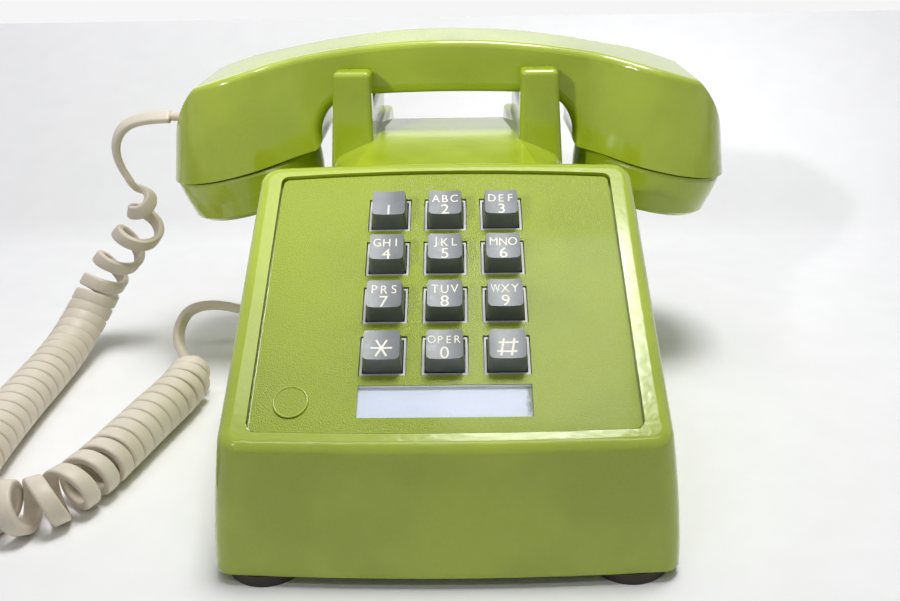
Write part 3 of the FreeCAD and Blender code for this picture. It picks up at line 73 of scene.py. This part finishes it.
eye = addObject("camera", bpy.data.cameras.new("camera"))
eye.data.lens = view["lens"]
eye.data.sensor_width = view["sensor"]
eye.data.sensor_fit = "HORIZONTAL"
eye.data.clip_start = 0.01
eye.matrix_world = (
    Matrix.Translation(view["at"])
    @ Matrix.Rotation(math.radians(view["turn"]), 4, "Z")
    @ Matrix.Rotation(math.radians(view["tilt"]), 4, "X")
    @ Matrix.Rotation(math.radians(view["roll"]), 4, "Z")
)
scene.camera = eye
print("camera placed")


# shading nodes


class Wire:
    def __init__(self, tree, socket):
        self.tree, self.socket = tree, socket

    def node(self, kind, settings, inputs, output=0):
        made = self.tree.nodes.new(kind)
        for key, value in settings.items():
            setattr(made, key, value)
        for key, value in inputs.items():
            if isinstance(value, Wire):
                self.tree.links.new(value.socket, made.inputs[key])
            else:
                made.inputs[key].default_value = value
        return Wire(self.tree, made.outputs[output] if made.outputs else None)

    def math(self, operation, first, second):
        return self.node("ShaderNodeMath", {"operation": operation}, {0: first, 1: second})

    def __add__(self, other):
        return self.math("ADD", self, other)

    def __radd__(self, other):
        return self.math("ADD", other, self)

    def __sub__(self, other):
        return self.math("SUBTRACT", self, other)

    def __rsub__(self, other):
        return self.math("SUBTRACT", other, self)

    def __mul__(self, other):
        return self.math("MULTIPLY", self, other)

    def __rmul__(self, other):
        return self.math("MULTIPLY", other, self)


def newMaterial(name):
    made = bpy.data.materials.new(name)
    made.use_nodes = True
    made.node_tree.nodes.clear()
    source = made.node_tree.nodes.new("ShaderNodeTexCoord")
    return made, Wire(made.node_tree, source.outputs["Object"])


def noise(place, scale, detail=2.0, rough=0.5):
    return place.node(
        "ShaderNodeTexNoise", {}, {"Vector": place, "Scale": scale, "Detail": detail, "Roughness": rough},
    )


def cells(place, scale, feature="F1"):
    return place.node("ShaderNodeTexVoronoi", {"feature": feature}, {"Vector": place, "Scale": scale})


def ramp(value, low, high, start=0.0, end=1.0):
    return value.node(
        "ShaderNodeMapRange", {"interpolation_type": "SMOOTHSTEP"},
        {"Value": value, "From Min": low, "From Max": high, "To Min": start, "To Max": end},
    )


def mix(factor, first, second):
    return factor.node("ShaderNodeMix", {"data_type": "RGBA"}, {0: factor, 6: first, 7: second}, 2)


def bump(height, strength, distance):
    return height.node("ShaderNodeBump", {}, {"Height": height, "Strength": strength, "Distance": distance})


def axisOf(place, letter):
    return place.node("ShaderNodeSeparateXYZ", {}, {"Vector": place}, "XYZ".index(letter))


def close(made, place, inputs):
    shader = place.node("ShaderNodeBsdfPrincipled", {}, inputs)
    place.node("ShaderNodeOutputMaterial", {}, {"Surface": shader})
    return made


# curly cord

cordSet = {
    "route": [  # centre line of the curls, handset to housing
        (-0.1167, 0.055, 0.1077), (-0.1275, 0.055, 0.1077), (-0.138, 0.055, 0.104),
        (-0.143, 0.055, 0.0945), (-0.141, 0.055, 0.084), (-0.1355, 0.055, 0.076),
        (-0.1325, 0.0555, 0.067), (-0.137, 0.056, 0.057), (-0.148, 0.057, 0.046),
        (-0.1585, 0.056, 0.033), (-0.166, 0.048, 0.019), (-0.170, 0.030, 0.0105),
        (-0.1705, 0.007, 0.010), (-0.1713, -0.016, 0.010), (-0.1709, -0.041, 0.010),
        (-0.1695, -0.061, 0.010), (-0.161, -0.0755, 0.010), (-0.146, -0.0815, 0.010),
        (-0.132, -0.0765, 0.010), (-0.1245, -0.0625, 0.010), (-0.1195, -0.044, 0.010),
        (-0.1145, -0.024, 0.010), (-0.109, -0.005, 0.010), (-0.1085, 0.010, 0.010),
        (-0.1145, 0.022, 0.0098), (-0.1205, 0.0315, 0.011), (-0.1215, 0.038, 0.017),
        (-0.1165, 0.042, 0.0245), (-0.104, 0.042, 0.0265), (-0.090, 0.041, 0.023),
        (-0.0744, 0.041, 0.023),
    ],
    "radius": 0.0079,
    "pitch": 0.0062,
    "loosePitch": 0.016,
    "looseEnd": 0.088,
    "looseRamp": 0.030,
    "bendAt": 0.262,
    "bendSpan": 0.046,
    "bendPitch": 0.0040,
    "tailUpper": 0.044,
    "tailLower": 0.067,
    "ramp": 0.026,
    "width": 0.0058,
    "thick": 0.0029,
    "edge": 0.0009,
    "step": 0.0012,  # between the rings of the ribbon
    "fine": 0.00025,  # between the points that the curls are worked out at
}


def smooth(t):
    t = np.clip(t, 0.0, 1.0)
    return t * t * (3 - 2 * t)


def unit(v):
    return v / np.linalg.norm(v, axis=-1, keepdims=True)


def routeLine(points):
    curve = bpy.data.curves.new("cord_route", "CURVE")
    curve.dimensions = "3D"
    curve.resolution_u = 24
    spline = curve.splines.new("NURBS")
    spline.points.add(len(points) - 1)
    for spot, point in zip(spline.points, points):
        spot.co = (*point, 1.0)
    spline.order_u = 3
    spline.use_endpoint_u = True
    carrier = bpy.data.objects.new("cord_route", curve)
    mesh = bpy.data.meshes.new_from_object(carrier)
    line = np.array([v.co for v in mesh.vertices], float)
    bpy.data.objects.remove(carrier)
    bpy.data.curves.remove(curve)
    bpy.data.meshes.remove(mesh)
    return line


def evenly(line, step):
    gone = np.r_[0.0, np.cumsum(np.linalg.norm(np.diff(line, axis=0), axis=1))]
    count = int(round(gone[-1] / step))
    at = np.linspace(0.0, gone[-1], count + 1)
    return np.stack([np.interp(at, gone, line[:, k]) for k in range(3)], 1), at


def carried(start, ahead):  # a side vector carried along a line without twist
    sides, side = [], np.array(start, float)
    for t in ahead:
        side = side - t * side.dot(t)
        side = side / np.linalg.norm(side)
        sides.append(side)
    return np.array(sides)


def curlLine(c):
    centre, at = evenly(routeLine(c["route"]), c["fine"])
    total = at[-1]
    ahead = unit(np.gradient(centre, axis=0))
    side = carried((0, 0, 1), ahead)
    other = np.cross(ahead, side)
    closing = smooth((total - c["tailLower"] - at) / c["ramp"])
    swell = smooth((at - c["tailUpper"]) / c["ramp"]) * closing
    tight = smooth((at - c["looseEnd"]) / c["looseRamp"]) * closing
    bend = np.maximum(0.0, 1 - ((at - c["bendAt"]) / c["bendSpan"]) ** 2)
    pitch = c["loosePitch"] + (c["pitch"] - c["loosePitch"]) * tight + c["bendPitch"] * bend
    phase = np.r_[0.0, np.cumsum(2 * math.pi * np.diff(at) / pitch[1:])]
    radial = side * np.cos(phase)[:, None] + other * np.sin(phase)[:, None]
    return centre + radial * (c["radius"] * swell)[:, None], radial, swell


def ribbonSection(c):
    edge = c["edge"]
    x, y = c["width"] / 2 - edge, c["thick"] / 2 - edge
    corners = ((x, y), (-x, y), (-x, -y), (x, -y))
    ring = []
    for i, (x, y) in enumerate(corners):
        for k in range(4):
            angle = math.pi / 2 * (i + k / 3)
            ring.append((x + edge * math.cos(angle), y + edge * math.sin(angle)))
    return ring


def makeCord(c):
    path, radial, swell = curlLine(c)
    spots, gone = evenly(path, c["step"])
    before = np.r_[0.0, np.cumsum(np.linalg.norm(np.diff(path, axis=0), axis=1))]
    outward = unit(np.stack([np.interp(gone, before, radial[:, k]) for k in range(3)], 1))
    full = np.interp(gone, before, swell)
    ahead = unit(np.gradient(spots, axis=0))
    first, last = np.flatnonzero(full > 0.5)[[0, -1]]
    outward[:first + 1] = carried(outward[first], ahead[:first + 1][::-1])[::-1]
    outward[last:] = carried(outward[last], ahead[last:])
    outward = unit(outward - ahead * np.sum(outward * ahead, axis=1, keepdims=True))
    across = np.cross(ahead, outward)
    ring = ribbonSection(c)
    size = len(ring)
    verts = np.stack([spots + across * x + outward * y for x, y in ring], 1)
    count = len(spots)
    faces = [
        (i * size + k, i * size + (k + 1) % size, (i + 1) * size + (k + 1) % size, (i + 1) * size + k)
        for i in range(count - 1) for k in range(size)
    ]
    faces += [tuple(range(size))[::-1], tuple((count - 1) * size + k for k in range(size))]
    mesh = bpy.data.meshes.new("curly_cord")
    mesh.from_pydata(verts.reshape(-1, 3).tolist(), [], faces)
    mesh.polygons.foreach_set("use_smooth", [True] * len(mesh.polygons))
    tidy = bmesh.new()
    tidy.from_mesh(mesh)
    bmesh.ops.recalc_face_normals(tidy, faces=tidy.faces)
    tidy.to_mesh(mesh)
    tidy.free()
    return addObject("curly_cord", mesh), spots, gone[-1]


cord, cordPath, cordLength = makeCord(cordSet)
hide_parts("handset_cord")
cordLowest = float(cordPath[:, 2].min()) - cordSet["thick"] / 2
print("cord", round(cordLength, 3), "m, lowest", round(cordLowest, 5))


# legends on the keys

legendSet = {
    "pivot": (0.0, -0.0507, 0.0772),
    "slope": 29.38,
    "pitch": 0.01905,
    "rise": 0.0068,
    "dishRadius": 0.034,
    "dishDepth": 0.00055,
    "lift": 0.00006,
    "letterSize": 0.0047,
    "letterV": 0.0016,
    "letterPitch": 0.0031,
    "letterMost": 0.0029,
    "squeeze": 0.86,
    "digitSize": 0.0060,
    "digitV": -0.0030,
    "signV": -0.0012,
    "bar": 0.00064,
    "starLength": 0.0066,
    "hashLevel": 0.0060,
    "hashUpright": 0.0062,
    "hashApart": (-0.0016, 0.0016),
    "hashLean": 81,
    "hashShift": 0.16,
    "longWord": 0.84,  # size of a word of more than three letters
    "words": ["", "ABC", "DEF", "GHI", "JKL", "MNO", "PRS", "TUV", "WXY", "", "OPER", ""],
    "keys": ["1", "2", "3", "4", "5", "6", "7", "8", "9", "star", "0", "hash"],
}
faceTip = Matrix.Translation(legendSet["pivot"]) @ Matrix.Rotation(math.radians(legendSet["slope"]), 4, "X")


def textShape(text, size, x, v, squeeze=1.0, most=1.0):
    curve = bpy.data.curves.new("legend_text", "FONT")
    curve.body = text
    curve.size = size
    curve.align_x = "CENTER"
    curve.align_y = "CENTER"
    curve.resolution_u = 6
    carrier = bpy.data.objects.new("legend_text", curve)
    mesh = bpy.data.meshes.new_from_object(carrier)
    points = np.array([p.co[:2] for p in mesh.vertices])
    low, high = points.min(0), points.max(0)
    middle = (low + high) / 2
    wide = min(squeeze, most / (high[0] - low[0]))
    spots = [(x + (a - middle[0]) * wide, b - middle[1] + v) for a, b in points]
    parts = [tuple(f.vertices) for f in mesh.polygons]
    bpy.data.objects.remove(carrier)
    bpy.data.curves.remove(curve)
    bpy.data.meshes.remove(mesh)
    return spots, parts


def barShape(x, v, length, angle, width):
    along = Vector((math.cos(angle), math.sin(angle)))
    aside = Vector((-along.y, along.x)) * (width / 2)
    spots, steps = [], 8
    for i in range(steps + 1):
        middle = Vector((x, v)) + along * (length * (i / steps - 0.5))
        spots += [tuple(middle - aside), tuple(middle + aside)]
    return spots, [(2 * i, 2 * i + 2, 2 * i + 3, 2 * i + 1) for i in range(steps)]


def legendShapes(key, word):
    c = legendSet
    if key == "star":
        return [barShape(0, c["signV"], c["starLength"], math.radians(a), c["bar"]) for a in (0, 60, 120)]
    if key == "hash":
        lean = math.radians(c["hashLean"])
        level = [
            barShape(dv * c["hashShift"], c["signV"] + dv, c["hashLevel"], 0.0, c["bar"])
            for dv in c["hashApart"]
        ]
        return level + [barShape(dx, c["signV"], c["hashUpright"], lean, c["bar"]) for dx in c["hashApart"]]
    shapes = [textShape(key, c["digitSize"], 0.0, c["digitV"])]
    small = c["longWord"] if len(word) > 3 else 1.0
    size, most = c["letterSize"] * small, c["letterMost"] * small
    for i, letter in enumerate(word):
        x = (i - (len(word) - 1) / 2) * c["letterPitch"] * small
        shapes.append(textShape(letter, size, x, c["letterV"], c["squeeze"], most))
    return shapes


def makeLegend(index):
    c = legendSet
    key = c["keys"][index]
    row, column = divmod(index, 3)
    cx, cv = (column - 1) * c["pitch"], (1.5 - row) * c["pitch"]
    verts, faces = [], []
    for spots, parts in legendShapes(key, c["words"][index]):
        base = len(verts)
        for x, v in spots:
            dish = c["dishRadius"] - math.sqrt(c["dishRadius"] ** 2 - x * x)
            z = c["rise"] - c["dishDepth"] + dish + c["lift"]
            verts.append(faceTip @ Vector((cx + x, cv + v, z)))
        faces += [tuple(base + k for k in part) for part in parts]
    mesh = bpy.data.meshes.new("legend_" + key)
    mesh.from_pydata(verts, [], faces)
    made = addObject("legend_" + key, mesh)
    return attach(made, "key_" + key)


legends = [makeLegend(i) for i in range(len(legendSet["keys"]))]
print("legends", len(legends))


# rounded rim of the plate's plain disc

rimSet = {
    "at": (-0.0459, -0.0446, 0.00033),
    "radius": 0.00505,
    "round": 0.00032,
    "around": 72,
    "section": 12,
}


def makeRim(c):
    verts = []
    for i in range(c["around"]):
        turn = 2 * math.pi * i / c["around"]
        for k in range(c["section"]):
            spin = 2 * math.pi * k / c["section"]
            reach = c["radius"] + c["round"] * math.cos(spin)
            spot = Vector((reach * math.cos(turn), reach * math.sin(turn), c["round"] * math.sin(spin)))
            verts.append(faceTip @ (Vector(c["at"]) + spot))
    count, size = c["around"], c["section"]
    faces = []
    for i in range(count):
        here, there = i * size, (i + 1) % count * size
        for k in range(size):
            after = (k + 1) % size
            faces.append((here + k, there + k, there + after, here + after))
    mesh = bpy.data.meshes.new("disc_rim")
    mesh.from_pydata(verts, [], faces)
    mesh.polygons.foreach_set("use_smooth", [True] * len(faces))
    made = addObject("disc_rim", mesh)
    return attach(made, "base")


discRim = makeRim(rimSet)
print("disc rim", len(discRim.data.polygons))


# finishes

shellSet = {
    "green": linear("#A4B626"),
    "light": linear("#AABC2E"),
    "deep": linear("#9BAD20"),
    "roughLow": 0.13,
    "roughHigh": 0.22,
    "peelScale": 420.0,
    "peel": 0.10,
    "peelDepth": 0.0005,
    "pebbleScale": 2300.0,
    "pebble": 0.6,
    "pebbleDepth": 0.00022,
    "pebbleRough": 0.16,
    # painted shade: darker green used for the hollows between the pebbles on the plate
    "pebble_shade": linear("#76851A"),
}


def shellPaint(name, pebbled):
    c = shellSet
    made, place = newMaterial(name)
    drift = noise(place, 30.0, 3.0)
    grain = noise(place, 900.0, 2.0)
    colour = mix(ramp(drift, 0.35, 0.65), c["deep"], c["light"])
    colour = mix(ramp(grain, 0.3, 0.7, 0.0, 0.5), colour, c["green"])
    scuff = ramp(noise(place, 140.0, 6.0, 0.7), 0.55, 0.8)
    rough = ramp(drift, 0.3, 0.7, c["roughLow"], c["roughHigh"]) + scuff * 0.08
    if pebbled:
        pebbles = cells(place, c["pebbleScale"]) * -1.0
        rolling = noise(place, c["pebbleScale"] * 0.6, 2.0) * 0.8
        height = bump(pebbles + rolling, c["pebble"], c["pebbleDepth"])
        rough = rough + c["pebbleRough"]
        # painted shade: the pebbled plate is darkened towards this green, most in the hollows between the
        # pebbles and a little everywhere, in place of the pebbles' self-shadowing
        colour = mix(ramp(pebbles, -0.6, 0.0, 0.45, 0.15), colour, c["pebble_shade"])
    else:
        height = bump(noise(place, c["peelScale"], 1.0), c["peel"], c["peelDepth"])
    return close(made, place, {
        "Base Color": colour, "Roughness": rough, "Normal": height,
        "IOR": 1.5, "Specular IOR Level": 0.3 if pebbled else 0.5,
        "Coat Weight": 0.05 if pebbled else 0.35, "Coat Roughness": 0.08,
    })


keySet = {"grey": linear("#616669"), "pale": linear("#6D7275"), "rough": 0.32}


def keyPlastic(name):
    c = keySet
    made, place = newMaterial(name)
    drift = noise(place, 160.0, 3.0)
    fine = noise(place, 2600.0, 2.0)
    worn = ramp(noise(place, 420.0, 5.0, 0.65), 0.5, 0.75)
    return close(made, place, {
        "Base Color": mix(ramp(drift, 0.3, 0.7), c["grey"], c["pale"]),
        "Roughness": c["rough"] + fine * 0.12 - worn * 0.06,
        "Normal": bump(fine, 0.12, 0.00008), "IOR": 1.5,
    })


def plainPlastic(name, first, second, scale, rough, spread, grain=1800.0, depth=0.1):
    made, place = newMaterial(name)
    drift = noise(place, scale, 4.0)
    fine = noise(place, grain, 2.0)
    return close(made, place, {
        "Base Color": mix(ramp(drift, 0.3, 0.7), linear(first), linear(second)),
        "Roughness": rough + fine * spread, "Normal": bump(fine, depth, 0.0001), "IOR": 1.48,
    })


def metal(name, first, second, scale, rough, spread):
    made, place = newMaterial(name)
    drawn = place.node("ShaderNodeMapping", {}, {"Vector": place, "Scale": (1.0, 14.0, 1.0)})
    brushed = noise(drawn, scale, 3.0)
    spangle = cells(place, scale * 0.8)
    return close(made, place, {
        "Base Color": mix(ramp(brushed, 0.3, 0.7), linear(first), linear(second)),
        "Metallic": 1.0, "Roughness": rough + spangle * spread, "Normal": bump(brushed, 0.08, 0.0001),
    })


cardSet = {"paper": linear("#DEE2EE"), "grey": linear("#C9CBD0"), "worn": linear("#8F8C86"), "end": 0.0262}


def paper(name):
    c = cardSet
    made, place = newMaterial(name)
    across = axisOf(place, "X")
    fibre = noise(place, 700.0, 5.0, 0.6)
    frayed = across + noise(place, 380.0, 4.0, 0.7) * 0.0030
    worn = ramp(frayed, c["end"] - 0.0012, c["end"] + 0.0008) * ramp(noise(place, 260.0, 3.0), 0.42, 0.6)
    colour = mix(ramp(fibre, 0.45, 0.8, 0.0, 0.35), c["paper"], c["grey"])
    colour = mix(worn, colour, c["worn"])
    return close(made, place, {
        "Base Color": colour, "Roughness": 0.75 + fibre * 0.1, "Normal": bump(fibre, 0.1, 0.0001),
    })


def clearSheet(name, tint, rough):
    made, place = newMaterial(name)
    haze = noise(place, 240.0, 4.0, 0.6)
    glass = place.node("ShaderNodeBsdfPrincipled", {}, {
        "Base Color": linear(tint), "Roughness": rough + haze * 0.06, "IOR": 1.49,
    })
    through = place.node("ShaderNodeBsdfTransparent", {}, {"Color": linear(tint)})
    facing = ramp(place.node("ShaderNodeFresnel", {}, {"IOR": 1.45}), 0.0, 1.0, 0.03, 0.9)
    shader = place.node("ShaderNodeMixShader", {}, {0: facing, 1: through, 2: glass})
    place.node("ShaderNodeOutputMaterial", {}, {"Surface": shader})
    return made


def circuitBoard(name):
    made, place = newMaterial(name)
    weave = noise(place, 1300.0, 3.0)
    trace = ramp(cells(place, 210.0, "DISTANCE_TO_EDGE"), 0.02, 0.05)
    colour = mix(ramp(weave, 0.3, 0.7), linear("#8A6238"), linear("#9A7144"))
    return close(made, place, {
        "Base Color": mix(trace, linear("#B08A4A"), colour), "Roughness": 0.5 + weave * 0.1,
        "Normal": bump(trace, 0.2, 0.0001),
    })


def winding(name):
    made, place = newMaterial(name)
    bands = place.node(
        "ShaderNodeTexWave", {"bands_direction": "X"},
        {"Vector": place, "Scale": 900.0, "Distortion": 0.6, "Detail": 1.0},
    )
    return close(made, place, {
        "Base Color": mix(bands, linear("#6B3A1A"), linear("#B9703A")), "Metallic": 0.6, "Roughness": 0.35,
        "Normal": bump(bands, 0.4, 0.0002),
    })


def rubber(name):
    made, place = newMaterial(name)
    drift = noise(place, 220.0, 4.0)
    dust = ramp(noise(place, 900.0, 4.0, 0.7), 0.55, 0.75)
    colour = mix(ramp(drift, 0.3, 0.7), linear("#2B2622"), linear("#3A332C"))
    return close(made, place, {
        "Base Color": mix(dust * 0.3, colour, linear("#5B544C")), "Roughness": 0.7 + drift * 0.15,
        "Normal": bump(drift, 0.2, 0.0002),
    })


def cordJacket(name):
    made, place = newMaterial(name)
    drift = noise(place, 35.0, 3.0)
    fine = noise(place, 1500.0, 2.0)
    grime = ramp(noise(place, 260.0, 5.0, 0.7), 0.62, 0.8)
    speck = ramp(noise(place, 520.0, 2.0), 0.80, 0.83)
    colour = mix(ramp(drift, 0.35, 0.65), linear("#D6CBBA"), linear("#DDD3C4"))
    colour = mix(grime * 0.25, colour, linear("#B7A894"))
    colour = mix(speck * 0.8, colour, linear("#6A5A48"))
    return close(made, place, {
        "Base Color": colour, "Roughness": 0.38 + fine * 0.12 + grime * 0.1,
        "Normal": bump(fine, 0.08, 0.0001), "IOR": 1.48,
        "Subsurface Weight": 0.06, "Subsurface Radius": (0.002, 0.0014, 0.001), "Subsurface Scale": 1.0,
    })


def legendInk(name):
    made, place = newMaterial(name)
    fine = noise(place, 1600.0, 3.0)
    colour = mix(ramp(fine, 0.4, 0.8, 0.0, 0.5), linear("#F1EEDD"), linear("#DAD6C2"))
    return close(made, place, {"Base Color": colour, "Roughness": 0.45 + fine * 0.1})


finishes = [
    (shellPaint("shell_paint", False), ["housing", "handset_handle", "transmitter_cap", "receiver_cap"]),
    (shellPaint("plate_paint", True), ["faceplate"]),
    (keyPlastic("key_plastic"), ["key_" + k for k in legendSet["keys"]]),
    (plainPlastic("collar_plastic", "#B4B6AE", "#C0C2BA", 120.0, 0.38, 0.12), ["keypad_frame"]),
    (paper("card_paper"), ["number_card"]),
    (clearSheet("window_plastic", "#FAFBFC", 0.06), ["card_window"]),
    (plainPlastic("plug_plastic", "#D2C6B4", "#DBD0C0", 140.0, 0.38, 0.12), ["base_plug", "handset_plug"]),
    (circuitBoard("circuit_board"), ["keypad_board"]),
    (winding("coil_winding"), ["ringer_coil", "tone_coils"]),
    (rubber("foot_rubber"), ["rubber_feet"]),
    (plainPlastic("black_plastic", "#1E1E1F", "#2A2A2B", 140.0, 0.42, 0.15),
     ["network_block", "contact_pile", "volume_wheel", "transmitter_cup"]),
    (plainPlastic("plunger_plastic", "#C9CBC6", "#D6D8D2", 140.0, 0.35, 0.12),
     ["plunger_left", "plunger_right"]),
    (plainPlastic("jack_plastic", "#D8D2C2", "#E2DCCD", 140.0, 0.4, 0.12),
     ["line_jack", "handset_jack", "handset_end_jack"]),
    (metal("plated_steel", "#B9BBB6", "#CFCFC8", 260.0, 0.28, 0.10),
     ["keypad_brackets", "base_pan", "housing_screws", "ringer_frame", "hook_bracket", "hook_pin",
      "hook_lever", "clapper", "gong_posts", "ringer_core"]),
    (metal("gong_brass", "#C9A85C", "#D8BC72", 180.0, 0.22, 0.08),
     ["gong_left", "gong_right", "network_terminals"]),
    (metal("capsule_metal", "#C4C6C8", "#D2D4D5", 300.0, 0.3, 0.1), ["transmitter_unit", "receiver_unit"]),
]
for material, names in finishes:
    for name in names:
        data = nodes[name].data
        data.materials.clear()
        data.materials.append(material)
discRim.data.materials.append(nodes["housing"].data.materials[0])
cord.data.materials.append(cordJacket("cord_jacket"))
ink = legendInk("legend_ink")
for made in legends:
    made.data.materials.append(ink)
print("finishes", len(finishes) + 2)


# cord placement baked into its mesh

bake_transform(cord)


# floor, backdrop and lights

stageSet = {
    "half": 1.6,
    "front": -1.2,
    "foot": 0.185,  # where the sweep starts to rise
    "round": 0.05,
    "lean": 34.0,
    "back": 0.36,
    "colour": linear("#F4F4F6"),
    "fleck": linear("#F2F2F4"),
}


def makeStage(c):
    profile = [(c["front"], 0.0)]
    for i in range(9):
        angle = math.radians(c["lean"]) * i / 8
        profile.append((c["foot"] + c["round"] * math.sin(angle), c["round"] * (1 - math.cos(angle))))
    y, z = profile[-1]
    profile.append((c["back"], z + (c["back"] - y) * math.tan(math.radians(c["lean"]))))
    verts = [(side * c["half"], y, z) for y, z in profile for side in (-1, 1)]
    faces = [(2 * i, 2 * i + 1, 2 * i + 3, 2 * i + 2) for i in range(len(profile) - 1)]
    mesh = bpy.data.meshes.new("sweep")
    mesh.from_pydata(verts, [], faces)
    mesh.polygons.foreach_set("use_smooth", [True] * len(faces))
    made = addObject("sweep", mesh)
    material, place = newMaterial("sweep_paper")
    fibre = noise(place, 60.0, 3.0)
    close(material, place, {
        "Base Color": mix(ramp(fibre, 0.3, 0.7), c["colour"], c["fleck"]), "Roughness": 0.85,
        "Specular IOR Level": 0.2,
    })
    mesh.materials.append(material)


makeStage(stageSet)

lampSet = {
    "main": {"at": (0.10, 0.0, 1.0), "aim": (0.03, 0.0, 0.0), "size": (0.26, 0.26), "power": 5.7},
    "top": {"at": (0.0, 0.08, 1.08), "aim": (0.0, 0.0, 0.0), "size": (1.0, 0.4), "power": 3.0},
    "strip": {"at": (0.0, -0.52, 1.0), "aim": (0.0, -0.1, 0.05), "size": (1.1, 0.12), "power": 1.5},
    "front": {"at": (-0.60, -0.80, 0.70), "aim": (0.0, 0.0, 0.08), "size": (0.12, 0.12), "power": 0.4},
    "back": {"at": (-0.20, 0.62, 0.42), "aim": (0.0, 0.05, 0.12), "size": (0.9, 0.30), "power": 0.9},
    "spot": {
        "at": (-0.60, -0.80, 0.62), "aim": (0.0, 0.055, 0.125), "radius": 0.03,
        "cone": 15.0, "soft": 1.0, "power": 19.0,
    },
    "world": 0.07,
    "white": 0.92,  # the world as the camera and reflections see it
}


def makeLamp(name, c):
    lamp = bpy.data.lights.new(name, "SPOT" if "cone" in c else "AREA")
    if "cone" in c:
        lamp.spot_size = math.radians(c["cone"])
        lamp.spot_blend = c["soft"]
        lamp.shadow_soft_size = c["radius"]
    else:
        lamp.shape = "RECTANGLE"
        lamp.size, lamp.size_y = c["size"]
    lamp.energy = c["power"]
    made = addObject(name, lamp)
    made.location = c["at"]
    made.rotation_euler = (Vector(c["aim"]) - Vector(c["at"])).to_track_quat("-Z", "Y").to_euler()


for name in ("main", "top", "strip", "front", "back", "spot"):
    makeLamp(name + "_light", lampSet[name])
world = bpy.data.worlds.new("studio")
world.use_nodes = True
scene.world = world
tree = world.node_tree
rays = tree.nodes.new("ShaderNodeLightPath").outputs
seen = sum(Wire(tree, rays[kind]) for kind in ("Is Camera Ray", "Is Glossy Ray", "Is Transmission Ray"))
sky = seen.math("MINIMUM", seen, 1.0) * (lampSet["white"] - lampSet["world"]) + lampSet["world"]
tree.nodes["Background"].inputs["Color"].default_value = (1.0, 1.0, 1.0, 1.0)
tree.links.new(sky.socket, tree.nodes["Background"].inputs["Strength"])
print("stage and lights set")
